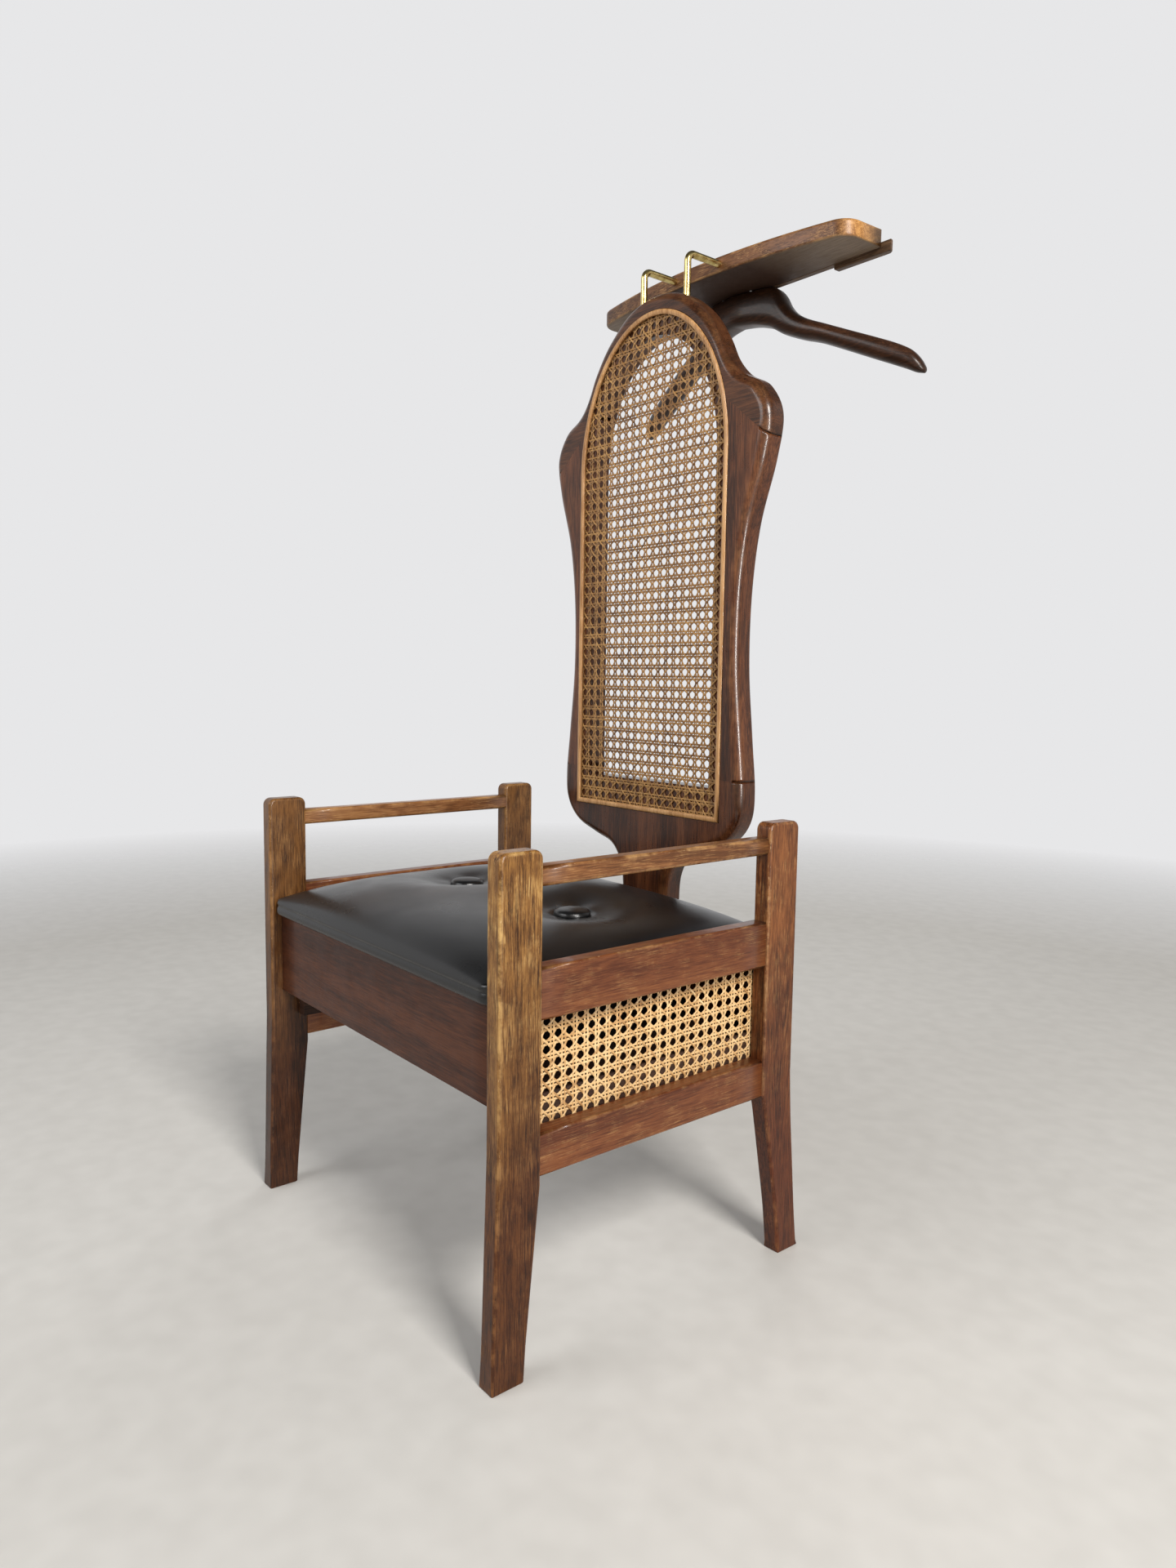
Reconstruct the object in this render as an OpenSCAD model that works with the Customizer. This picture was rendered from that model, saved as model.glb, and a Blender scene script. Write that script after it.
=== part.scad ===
// Valet chair: a box seat with a hinged lid, a tall caned back, a tray on brass rods and a coat hanger.
// X runs across the chair, -Y is the front and Z is up. Sizes are in millimetres.

/* [Seat frame] */
// Width across the outside of the posts
seat_w = 478; // [440:1:520]
// Depth of the frame at the posts
seat_d = 369; // [350:1:400]
// Height of the post tops
post_h = 459; // [450:1:490]
// Thickness of a post, side to side
post_t = 20; // [18:1:24]
// Depth of a post, front to back
post_d = 44; // [38:1:48]
// Radius of the rounded post tops
post_top_r = 8; // [4:1:12]
// Thickness of the side rails
rail_t = 17.6; // [15:0.1:18]
// Setback of the rails from the outside of the posts
rail_recess = 2.4; // [1:0.1:4]

/* [Legs] */
// Depth of a front foot
front_foot_d = 33; // [26:1:38]
// Forward rake of a front foot
front_foot_rake = 5.5; // [0:0.5:10]
// Depth of a rear foot
rear_foot_d = 30.5; // [26:0.5:38]
// Backward sweep of a rear foot
rear_foot_sweep = 18.5; // [8:0.5:24]

/* [Rails] */
// Underside of the arm rails
arm_z = 427; // [420:1:430]
// Height of the arm rails
arm_h = 17.4; // [14:0.1:20]
// Underside of the seat rails
seat_rail_z = 313; // [310:1:316]
// Height of the seat rails
seat_rail_h = 46; // [42:1:50]
// Underside of the lower side rails
lower_rail_z = 177; // [170:1:182]
// Height of the lower side rails
lower_rail_h = 38.6; // [34:0.1:42]
// Underside of the front apron
apron_z = 235.4; // [230:0.1:240]
// Thickness of the front apron
apron_t = 18; // [15:1:20]

/* [Back] */
// Width of the back at the shoulders
back_w = 355; // [340:1:370]
// Height of the crown above the floor
back_top_z = 1037; // [1000:1:1060]
// Thickness of the back frame
back_t = 28; // [24:1:30]
// Width of the caned arch over its bead
arch_w = 248; // [230:1:252]
// Underside of the caned arch
arch_z0 = 443; // [440:1:450]
// Top of the caned arch
arch_z1 = 1018; // [980:1:1020]
// Width of the bead round the cane
bead_w = 6; // [4:0.5:8]
// Thickness of a sheet of cane
cane_t = 1.6; // [1:0.1:2.5]

/* [Tray and hanger] */
// Length of the tray
tray_w = 401; // [380:1:420]
// Depth of the tray at its middle
tray_d = 80; // [70:1:90]
// Underside of the tray
tray_z = 1067; // [1060:1:1090]
// Thickness of the tray
tray_t = 19; // [16:1:22]
// Bow of the tray's front edge
tray_bow = 24.5; // [10:0.5:30]
// Distance between the brass rods
rod_gap = 72; // [60:1:90]
// Diameter of a brass rod
rod_dia = 8; // [6:0.5:10]
// Width of the coat hanger
hanger_w = 448; // [420:1:460]
// Thickness of the coat hanger at its middle
hanger_t = 34; // [28:1:38]

/* [Seat] */
// Height of the cushion's crown above the floor
cushion_top_z = 386; // [378:1:402]
// Thickness of the seat board
board_t = 12; // [9:1:14]
// Distance between the two buttons
button_gap = 196; // [150:2:220]
// Diameter of a covered button
button_dia = 38; // [24:1:42]

/* [Hidden] */
$fn = 48;

// Colours of the pieces
post_colour = "#7a4a24";
rail_colour = "#69391f";
back_colour = "#45241a";
tray_colour = "#7b4622";
ply_colour = "#3b2217";
cane_colour = "#c79a55";
bead_colour = "#c08a4c";
brass_colour = "#c8a84a";
steel_colour = "#8c8c8c";
leather_colour = "#1b1d22";

// Clearances
fit = 0.05;
lid_gap = 0.3;

// Coat hanger seen from above: the middle of its thickness moves back towards the tips
hanger_y0 = 332;
hanger_tip_y = 393;
hanger_curve = 1.25;
hanger_tip_t = 22;
function hanger_mid(x) = hanger_y0
    + (hanger_tip_y - hanger_y0) * pow(abs(x) / (hanger_w / 2), hanger_curve);
function hanger_half(x) = (hanger_t + (hanger_tip_t - hanger_t) * pow(abs(x) / (hanger_w / 2), 2)) / 2;
hanger_xs = [for (i = [-18:18]) hanger_w / 2 * sin(i * 5)];

// The seat's centre lies forward of the origin, so that the origin is under the middle of the whole chair
front_reach = seat_d / 2 + front_foot_rake;
rear_reach = max([for (x = hanger_xs) hanger_mid(x) + hanger_half(x)]);
seat_y = (front_reach - rear_reach) / 2;

// Faces of the seat frame
outer_x = seat_w / 2;
inner_x = outer_x - post_t;
rail_x1 = outer_x - rail_recess;
rail_x0 = rail_x1 - rail_t;
front_y = seat_y - seat_d / 2;
rear_y = seat_y + seat_d / 2;
rail_y0 = front_y + post_d;
rail_y1 = rear_y - post_d;
apron_recess = 12.5;
apron_y = front_y + apron_recess;
lid_z = 327;

// Rear rail, and the back frame fixed to it
rear_rail_y0 = seat_y + 166;
back_y = seat_y + 186;
rear_rail_top = 321;
back_foot_z = 240;
stem_screw_x = 20;
stem_screw_zs = [262, 300];

// Legs below the rails: where the front leg turns, and how far the rear leg sweeps back at each height
knee_z = 170;
knee_step = [1.5, 14];
shin_z = 205;
heel_sweep = [[13, 47], [6.5, 113], [3.2, 147], [0, 195]];
shin_sweep = [[0, lower_rail_z + 3], [5, 160], [17, 97], [26, 47]];

// Box floor and the strips that hold the side cane
floor_t = 5;
strip_t = 13;
side_cane_x = inner_x - cane_t;
strip_x = side_cane_x - strip_t;
strip_z0 = 205;
strip_z1 = apron_z;
strip_side = 12;

// Screws: radius of the shank, radius of the head and length
stem_screw = [2.5, 4.5, 44];
hanger_screw = [2, 4, 38];
frame_screw = [1.4, 2.8, 14];
lid_screw = [1.4, 2.8, 10];

// Dowels in the rail joints
dowel_r = 4;
dowel_l = 28;
dowel_inset = 10;
cross_dowel_inset = 18;

// Back frame: half widths and heights of its outline, in hundredths of its half width and height
back_outline = [[0, 100], [23.5, 98.9], [44, 95.5], [57, 91.6], [65, 88.3], [75.5, 85.8], [90.5, 83.8],
    [100, 79.8], [96, 74], [85, 66], [79.5, 57], [79, 47], [83, 37.6], [86.5, 30], [84, 25.6],
    [72, 22.5], [52, 20.8], [35, 19.6], [26, 17.3], [22.5, 14], [23, 7.5], [25, 0]];
rebate_d = 4;
lip_w = 21;
lip_z0 = arch_z0 + 37;
lip_z1 = arch_z1 - 27;
arch_spring_z = 850;
crown_joint_x = 95;
crown_joint_z = 918.2;
crown_joint_slope = -0.8;
base_joint_z = 490;

// Tray, its rear strip and the brass rods
tray_y0 = seat_y + 255;
tray_y1 = tray_y0 + tray_d;
tray_corner_r = 25;
strip_w = 426;
strip_d = 9;
strip_low_z = tray_z - 6;
strip_high_z = tray_z + tray_t - 13;
strip_notch_w = 276;
rod_y = back_y + 20;
rod_z = tray_z + tray_t / 2;
rod_bend_r = 9;
rod_foot_z = 965;
rod_end_y = tray_y0 + 55;

// Coat hanger: its height at its middle, and its upper and lower edges seen from the front,
// from the middle to the tip
hanger_root_h = 37;
hanger_top = [[50, 0], [58, -7], [66, -21], [77, -34], [92, -44], [115, -54], [145, -67], [173, -79],
    [195, -89], [210, -98], [220, -109], [224, -120]];
hanger_low = [[222, -125], [202, -116], [180, -106], [152, -94], [123, -79], [105, -72], [86, -66],
    [68, -58], [50, -47], [28, -40], [0, -hanger_root_h]];
hanger_screw_x = 22;
hanger_screw_in = 9;
hanger_screw_up = 11;

// Hinges of the lid
hinge_x = 120;
hinge_w = 50;
leaf_t = 1.6;
leaf_l = 25;
pin_r = 1.6;
knuckle_r = 3;
knuckle_w = 16;
leaf_offset = knuckle_r + 0.2;
hinge_y = rear_rail_y0 - leaf_offset;
hinge_z = lid_z - leaf_offset;
leaf_relief = knuckle_r + 1;
leaf_screw_xs = [-17, 0, 17];
leaf_screw_in = 15;

// Lid and cushion
board_x = 216;
board_y0 = front_y + 6;
board_y1 = hinge_y - 0.8;
board_corner_r = 10;
cushion_x = 217;
cushion_y0 = front_y + 3;
cushion_y1 = hinge_y + 1;
cushion_edge_z = 347;
button_y = seat_y + 2;
button_z = 363;
button_rim = 3;
button_rise = 4.5;
button_gap_r = 1;

// Points of an arc about c, from angle a0 to a1
function arc(c, r, a0, a1, n) = [for (i = [0:n]) let (a = a0 + (a1 - a0) * i / n) c + r * [cos(a), sin(a)]];

// Mirror images of points, in reverse order
function flipped(pts) = [for (i = [len(pts) - 1:-1:0]) [-pts[i][0], pts[i][1]]];

// Smooth curve through points, with n steps between neighbours
function curve_point(a, b, c, d, t) = 0.5 * (2 * b + (c - a) * t + (2 * a - 5 * b + 4 * c - d) * t * t
    + (3 * b - a - 3 * c + d) * t * t * t);
function curve(pts, n) = [for (i = [0:len(pts) - 2]) for (k = [0:n - 1])
    curve_point(pts[max(i - 1, 0)], pts[i], pts[i + 1], pts[min(i + 2, len(pts) - 1)], k / n),
    pts[len(pts) - 1]];

// Arch with an elliptical head: half width w, foot z0, springing zs and crown z1
function arch(w, z0, zs, z1) = concat([[-w, z0], [w, z0]],
    [for (a = [0:5:180]) [w * cos(a), zs + (z1 - zs) * sin(a)]]);

// Solid with an outline in Y and Z, t thick from x0 towards +X
module side_slab(x0, t, pts) {
    translate([x0, 0, 0])
        rotate([90, 0, 90])
            linear_extrude(t)
                polygon(pts);
}

// Solid with an outline in X and Z, t thick from y0 towards +Y
module front_slab(y0, t) {
    translate([0, y0 + t, 0])
        rotate([90, 0, 0])
            linear_extrude(t)
                children();
}

// Solid with an outline in X and Y, t thick from z0 upwards
module level_slab(z0, t) {
    translate([0, 0, z0])
        linear_extrude(t)
            children();
}

module block(low, high) {
    translate(low)
        cube(high - low);
}

module mirrored() {
    mirror([1, 0, 0])
        children();
}

module along_y(r, x, y0, y1, z) {
    translate([x, y0, z])
        rotate([-90, 0, 0])
            cylinder(r = r, h = y1 - y0);
}

module along_x(r, x0, x1, y, z) {
    translate([x0, y, z])
        rotate([0, 90, 0])
            cylinder(r = r, h = x1 - x0);
}

// Countersunk screw with its head's flat at the origin and its point towards -Z
module screw(size, gap = 0) {
    shank_r = size[0] + gap;
    head_r = size[1] + gap;
    head_h = size[1] - size[0];
    translate([0, 0, -size[2] - gap])
        cylinder(r = shank_r, h = size[2] + gap);
    translate([0, 0, -head_h])
        cylinder(r1 = shank_r, r2 = head_r, h = head_h + gap);
}

// Dowels of the right-hand side frame, at both ends of each rail
module side_dowels(gap = 0) {
    x = (rail_x0 + rail_x1) / 2;
    zs = [arm_z + arm_h / 2, seat_rail_z + dowel_inset, seat_rail_z + seat_rail_h - dowel_inset,
        lower_rail_z + dowel_inset, lower_rail_z + lower_rail_h - dowel_inset];
    for (z = zs) {
        for (y = [rail_y0, rail_y1]) {
            along_y(dowel_r + gap, x, y - dowel_l / 2 - gap, y + dowel_l / 2 + gap, z);
        }
    }
}

// Dowels at the right-hand ends of the apron and the rear rail
module cross_dowels(gap = 0) {
    for (z = [apron_z + cross_dowel_inset, lid_z - cross_dowel_inset]) {
        for (y = [apron_y + apron_t / 2, (rear_rail_y0 + rear_y) / 2]) {
            along_x(dowel_r + gap, inner_x - dowel_l / 2 - gap, inner_x + dowel_l / 2 + gap, y, z);
        }
    }
}

// Right-hand front leg and post
module front_leg() {
    foot_y = front_y - front_foot_rake;
    head = concat(arc([front_y + post_d - post_top_r, post_h - post_top_r], post_top_r, 0, 90, 8),
        arc([front_y + post_top_r, post_h - post_top_r], post_top_r, 90, 180, 8));
    difference() {
        side_slab(inner_x, post_t, concat([[foot_y, 0], [foot_y + front_foot_d, 0],
            [rail_y0 - knee_step[0], knee_z - knee_step[1]], [rail_y0, knee_z]],
            head, [[front_y, shin_z]]));
        side_dowels(fit);
        cross_dowels(fit);
    }
}

// Right-hand rear leg and post, swept back below the rails
module rear_leg() {
    foot_y = rear_y + rear_foot_sweep;
    heel = curve(concat([[foot_y, 0]], [for (p = heel_sweep) [rear_y + p[0], p[1]]]), 5);
    shin = curve(concat([for (p = shin_sweep) [rail_y1 + p[0], p[1]]], [[foot_y - rear_foot_d, 0]]), 5);
    head = concat(arc([rear_y - post_top_r, post_h - post_top_r], post_top_r, 0, 90, 8),
        arc([rail_y1 + post_top_r, post_h - post_top_r], post_top_r, 90, 180, 8));
    difference() {
        side_slab(inner_x, post_t, concat(heel, head, shin));
        side_dowels(fit);
        cross_dowels(fit);
    }
}

// Right-hand side rail from height z up by h
module side_rail(z, h) {
    difference() {
        block([rail_x0, rail_y0, z], [rail_x1, rail_y1, z + h]);
        side_dowels(fit);
    }
}

module front_leg_right() {
    color(post_colour) front_leg();
}

module front_leg_left() {
    color(post_colour) mirrored() front_leg();
}

module rear_leg_right() {
    color(post_colour) rear_leg();
}

module rear_leg_left() {
    color(post_colour) mirrored() rear_leg();
}

module arm_rail_right() {
    color(rail_colour) side_rail(arm_z, arm_h);
}

module arm_rail_left() {
    color(rail_colour) mirrored() side_rail(arm_z, arm_h);
}

module seat_rail_right() {
    color(rail_colour) side_rail(seat_rail_z, seat_rail_h);
}

module seat_rail_left() {
    color(rail_colour) mirrored() side_rail(seat_rail_z, seat_rail_h);
}

module lower_rail_right() {
    color(rail_colour) side_rail(lower_rail_z, lower_rail_h);
}

module lower_rail_left() {
    color(rail_colour) mirrored() side_rail(lower_rail_z, lower_rail_h);
}

module front_apron() {
    color(rail_colour) difference() {
        block([-inner_x, apron_y, apron_z], [inner_x, apron_y + apron_t, lid_z - lid_gap]);
        cross_dowels(fit);
        mirrored() cross_dowels(fit);
    }
}

// Rear rail, which carries the stem of the back and the hinges
module rear_rail() {
    color(rail_colour) difference() {
        block([-inner_x, rear_rail_y0, apron_z], [inner_x, back_y, rear_rail_top]);
        cross_dowels(fit);
        mirrored() cross_dowels(fit);
        at_stem_screws() screw(stem_screw, fit);
        at_hinges() at_frame_screws() screw(frame_screw, fit);
    }
}

// Places its children at the screws through the stem, pointing forwards
module at_stem_screws() {
    for (x = [-stem_screw_x, stem_screw_x]) {
        for (z = stem_screw_zs) {
            translate([x, back_y + back_t, z])
                rotate([-90, 0, 0])
                    children();
        }
    }
}

// Floor of the box, lying on the strips along the sides
module bottom_panel() {
    color(ply_colour) block([-side_cane_x, apron_y + apron_t, strip_z1],
        [side_cane_x, rear_rail_y0, strip_z1 + floor_t]);
}

// Sheet of cane against the inside of the right-hand rails and posts
module side_cane() {
    block([side_cane_x, rail_y0 - strip_side, strip_z0],
        [inner_x, rail_y1 + strip_side, seat_rail_z + strip_side]);
}

module side_cane_right() {
    color(cane_colour) side_cane();
}

module side_cane_left() {
    color(cane_colour) mirrored() side_cane();
}

// Strips that hold the cane: the lower one carries the floor and the upper one the lid
module cane_retainer() {
    y0 = rail_y0 - strip_side;
    y1 = rail_y1 + strip_side;
    block([strip_x, y0, strip_z0], [side_cane_x, y1, strip_z1]);
    block([strip_x, y0, seat_rail_z], [side_cane_x, y1, lid_z - lid_gap]);
    for (y = [y0, y1 - strip_side]) {
        block([strip_x, y, strip_z1 + floor_t], [side_cane_x, y + strip_side, seat_rail_z]);
    }
}

module cane_retainer_right() {
    color(ply_colour) cane_retainer();
}

module cane_retainer_left() {
    color(ply_colour) mirrored() cane_retainer();
}

module rail_dowels() {
    color(cane_colour) {
        side_dowels();
        mirrored() side_dowels();
        cross_dowels();
        mirrored() cross_dowels();
    }
}

// Outline of the back, with its crown, shoulders, waist and stem
module back_shape() {
    rise = (back_top_z - back_foot_z) / 100;
    half = [for (p = back_outline) [p[0] * back_w / 200, back_foot_z + p[1] * rise]];
    polygon(curve(concat(flipped(half), [for (i = [1:len(half) - 1]) half[i]]), 6));
}

// Area of the back above the joints of the crown, which fall away towards the sides
module crown_area() {
    reach = back_w;
    side_z = crown_joint_z + crown_joint_slope * (reach - crown_joint_x);
    polygon([[-reach, back_top_z + 1], [-reach, side_z], [-crown_joint_x, crown_joint_z],
        [crown_joint_x, crown_joint_z], [reach, side_z], [reach, back_top_z + 1]]);
}

// Back frame, with the opening, the rebate for the cane and the holes for rods and screws
module back_frame() {
    difference() {
        front_slab(back_y, back_t) intersection() {
            back_shape();
            children();
        }
        front_slab(back_y - 1, back_t + 2)
            polygon(arch(arch_w / 2 - lip_w, lip_z0, arch_spring_z, lip_z1));
        front_slab(back_y - 1, rebate_d + 1)
            polygon(arch(arch_w / 2, arch_z0, arch_spring_z, arch_z1));
        rods(fit);
        at_stem_screws() screw(stem_screw, fit);
    }
}

module back_crown() {
    color(back_colour) back_frame() crown_area();
}

module stile_area() {
    difference() {
        translate([0, base_joint_z])
            square([back_w, back_top_z - base_joint_z]);
        crown_area();
    }
}

module back_stile_right() {
    color(back_colour) back_frame() stile_area();
}

module back_stile_left() {
    color(back_colour) back_frame() mirrored() stile_area();
}

module back_base() {
    color(back_colour) back_frame()
        translate([-back_w / 2, back_foot_z])
            square([back_w, base_joint_z - back_foot_z]);
}

module back_cane() {
    color(cane_colour) front_slab(back_y + rebate_d - cane_t, cane_t)
        polygon(arch(arch_w / 2, arch_z0, arch_spring_z, arch_z1));
}

// Bead that covers the edge of the cane
module back_bead() {
    proud = 0.8;
    color(bead_colour) front_slab(back_y - proud, rebate_d - cane_t + proud) difference() {
        polygon(arch(arch_w / 2, arch_z0, arch_spring_z, arch_z1));
        polygon(arch(arch_w / 2 - bead_w, arch_z0 + bead_w, arch_spring_z, arch_z1 - bead_w));
    }
}

module stem_screws() {
    color(steel_colour) at_stem_screws() screw(stem_screw);
}

// Right-hand brass rod: up out of the crown, round a bend and back into the tray
module rod(gap = 0) {
    r = rod_dia / 2 + gap;
    x = rod_gap / 2;
    translate([x, rod_y, rod_foot_z - gap])
        cylinder(r = r, h = rod_z - rod_bend_r - rod_foot_z + gap);
    translate([x, rod_y + rod_bend_r, rod_z - rod_bend_r])
        rotate([90, 0, 90])
            rotate([0, 0, 90])
                rotate_extrude(angle = 90)
                    translate([rod_bend_r, 0])
                        circle(r = r);
    along_y(r, x, rod_y + rod_bend_r, rod_end_y + gap, rod_z);
}

module rods(gap) {
    rod(gap);
    mirrored() rod(gap);
}

module brass_rod_right() {
    color(brass_colour) rod();
}

module brass_rod_left() {
    color(brass_colour) mirrored() rod();
}

// Tray with a bowed front edge and rounded front corners
module tray() {
    w = tray_w / 2;
    bow_r = (w * w + tray_bow * tray_bow) / (2 * tray_bow);
    centre_y = tray_y0 + bow_r;
    corner_x = w - tray_corner_r;
    corner_y = centre_y - sqrt(pow(bow_r - tray_corner_r, 2) - corner_x * corner_x);
    turn = asin(corner_x / (bow_r - tray_corner_r));
    right = concat(arc([0, centre_y], bow_r, -90, turn - 90, 12),
        arc([corner_x, corner_y], tray_corner_r, turn - 90, 0, 12), [[w, tray_y1]]);
    color(tray_colour) difference() {
        level_slab(tray_z, tray_t)
            polygon(concat(flipped(right), right));
        rods(fit);
        at_hanger_screws() screw(hanger_screw, fit);
    }
}

// Strip behind the tray, with round ends and a long notch below
module tray_back_rail() {
    w = strip_w / 2;
    end_r = strip_d - 1;
    color(rail_colour) difference() {
        level_slab(strip_low_z, strip_high_z - strip_low_z)
            polygon(concat([[-w, tray_y1], [w, tray_y1]],
                arc([w - end_r, tray_y1 + 1], end_r, 0, 90, 8),
                arc([end_r - w, tray_y1 + 1], end_r, 90, 180, 8)));
        block([-strip_notch_w / 2, tray_y1 - 1, strip_low_z - 1],
            [strip_notch_w / 2, tray_y1 + strip_d + 1, tray_z]);
    }
}

// Places its children at the screws up through the hanger into the tray
module at_hanger_screws() {
    for (x = [-hanger_screw_x, hanger_screw_x]) {
        translate([x, tray_y1 - hanger_screw_in, tray_z - hanger_root_h + hanger_screw_up])
            rotate([180, 0, 0])
                children();
    }
}

// Coat hanger: its front outline and its curve from above, cut from one block
module coat_hanger() {
    edge = concat(curve(hanger_top, 3), curve(hanger_low, 3));
    above = [for (x = hanger_xs) [x, seat_y + hanger_mid(x) - hanger_half(x)]];
    behind = [for (i = [len(hanger_xs) - 1:-1:0]) let (x = hanger_xs[i])
        [x, seat_y + hanger_mid(x) + hanger_half(x)]];
    color(back_colour) difference() {
        intersection() {
            front_slab(seat_y + hanger_y0 - hanger_t, hanger_tip_y - hanger_y0 + 2 * hanger_t)
                translate([0, tray_z])
                    polygon(concat(edge, [for (i = [len(edge) - 2:-1:0]) [-edge[i][0], edge[i][1]]]));
            level_slab(tray_z + hanger_low[0][1] - 1, 1 - hanger_low[0][1])
                polygon(concat(above, behind));
        }
        at_hanger_screws() screw(hanger_screw, fit);
        at_hanger_screws() cylinder(r = hanger_screw[1] + 0.5, h = 2 * hanger_screw_up);
    }
}

module hanger_screws() {
    color(steel_colour) at_hanger_screws() screw(hanger_screw);
}

// Places its children at the middle of each hinge, on its axis
module at_hinges() {
    for (x = [-hinge_x, hinge_x]) {
        translate([x, hinge_y, hinge_z])
            children();
    }
}

// Screws of a frame leaf and of a lid leaf, with their heads flush with the leaf
module at_frame_screws() {
    for (x = leaf_screw_xs) {
        translate([x, leaf_offset - leaf_t, -leaf_screw_in])
            rotate([90, 0, 0])
                children();
    }
}

module at_lid_screws() {
    for (x = leaf_screw_xs) {
        translate([x, -leaf_screw_in, leaf_offset - leaf_t])
            rotate([180, 0, 0])
                children();
    }
}

// Knuckle from x0 to x1 on the hinge axis
module knuckle(x0, x1) {
    along_x(knuckle_r, x0, x1, 0, 0);
}

module hinge_frame_leaves() {
    color(brass_colour) at_hinges() difference() {
        union() {
            for (side = [-1, 1]) {
                x0 = side * (hinge_w - knuckle_w) / 2 - knuckle_w / 2;
                knuckle(x0, x0 + knuckle_w);
                block([x0, leaf_offset - leaf_t, -leaf_relief], [x0 + knuckle_w, leaf_offset, 0]);
            }
            block([-hinge_w / 2, leaf_offset - leaf_t, -leaf_l], [hinge_w / 2, leaf_offset, -leaf_relief]);
        }
        along_x(pin_r + fit, -hinge_w, hinge_w, 0, 0);
        at_frame_screws() screw(frame_screw, fit);
    }
}

module hinge_lid_leaves() {
    color(brass_colour) at_hinges() difference() {
        union() {
            knuckle(-knuckle_w / 2, knuckle_w / 2);
            block([-knuckle_w / 2, -leaf_relief, leaf_offset - leaf_t], [knuckle_w / 2, 0, leaf_offset]);
            block([-hinge_w / 2, -leaf_l, leaf_offset - leaf_t], [hinge_w / 2, -leaf_relief, leaf_offset]);
        }
        along_x(pin_r + fit, -hinge_w, hinge_w, 0, 0);
        at_lid_screws() screw(lid_screw, fit);
    }
}

module hinge_pins() {
    color(brass_colour) at_hinges() along_x(pin_r, -hinge_w / 2, hinge_w / 2, 0, 0);
}

module hinge_frame_screws() {
    color(steel_colour) at_hinges() at_frame_screws() screw(frame_screw);
}

module hinge_lid_screws() {
    color(steel_colour) at_hinges() at_lid_screws() screw(lid_screw);
}

// Board under the cushion
module seat_board() {
    r = board_corner_r;
    color(ply_colour) difference() {
        level_slab(lid_z, board_t)
            polygon(concat(arc([board_x - r, board_y0 + r], r, -90, 0, 6),
                [[board_x, board_y1], [-board_x, board_y1]],
                arc([r - board_x, board_y0 + r], r, 180, 270, 6)));
        at_hinges() at_lid_screws() screw(lid_screw, fit);
    }
}

// Section of the cushion: upright edges, half_w from the middle, under a low arc
module dome_shape(half_w, low_z) {
    rise = cushion_top_z - cushion_edge_z;
    r = (half_w * half_w + rise * rise) / (2 * rise);
    turn = asin(half_w / r);
    polygon(concat([[-half_w, low_z], [half_w, low_z]],
        arc([0, cushion_top_z - r], r, 90 - turn, 90 + turn, 16)));
}

module seat_cushion() {
    mid_y = (cushion_y0 + cushion_y1) / 2;
    half_y = (cushion_y1 - cushion_y0) / 2;
    low_z = lid_z + board_t;
    color(leather_colour) difference() {
        intersection() {
            front_slab(cushion_y0, 2 * half_y) dome_shape(cushion_x, low_z);
            translate([-cushion_x, mid_y, 0])
                rotate([90, 0, 90])
                    linear_extrude(2 * cushion_x)
                        dome_shape(half_y, low_z);
        }
        at_buttons()
            translate([0, 0, -button_rim])
                cylinder(r = button_dia / 2 + button_gap_r, h = cushion_top_z - button_z + button_rim);
    }
}

module at_buttons() {
    for (x = [-button_gap / 2, button_gap / 2]) {
        translate([x, button_y, button_z])
            children();
    }
}

// Covered buttons: a flat rim under a low dome
module seat_buttons() {
    r = button_dia / 2;
    dome_r = (r * r + button_rise * button_rise) / (2 * button_rise);
    color(leather_colour) at_buttons() intersection() {
        translate([0, 0, -button_rim])
            cylinder(r = r, h = button_rim + button_rise);
        translate([0, 0, button_rise - dome_r])
            sphere(r = dome_r, $fn = 96);
    }
}

front_leg_left();
front_leg_right();
rear_leg_left();
rear_leg_right();
arm_rail_left();
arm_rail_right();
seat_rail_left();
seat_rail_right();
lower_rail_left();
lower_rail_right();
front_apron();
rear_rail();
bottom_panel();
side_cane_left();
side_cane_right();
cane_retainer_left();
cane_retainer_right();
rail_dowels();
back_crown();
back_stile_left();
back_stile_right();
back_base();
back_cane();
back_bead();
stem_screws();
brass_rod_left();
brass_rod_right();
tray();
tray_back_rail();
coat_hanger();
hanger_screws();
hinge_frame_leaves();
hinge_frame_screws();
seat_board();
seat_cushion();
seat_buttons();
hinge_lid_leaves();
hinge_pins();
hinge_lid_screws();
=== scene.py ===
import math

import bmesh
import bpy
from mathutils import Matrix, Vector, noise


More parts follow.
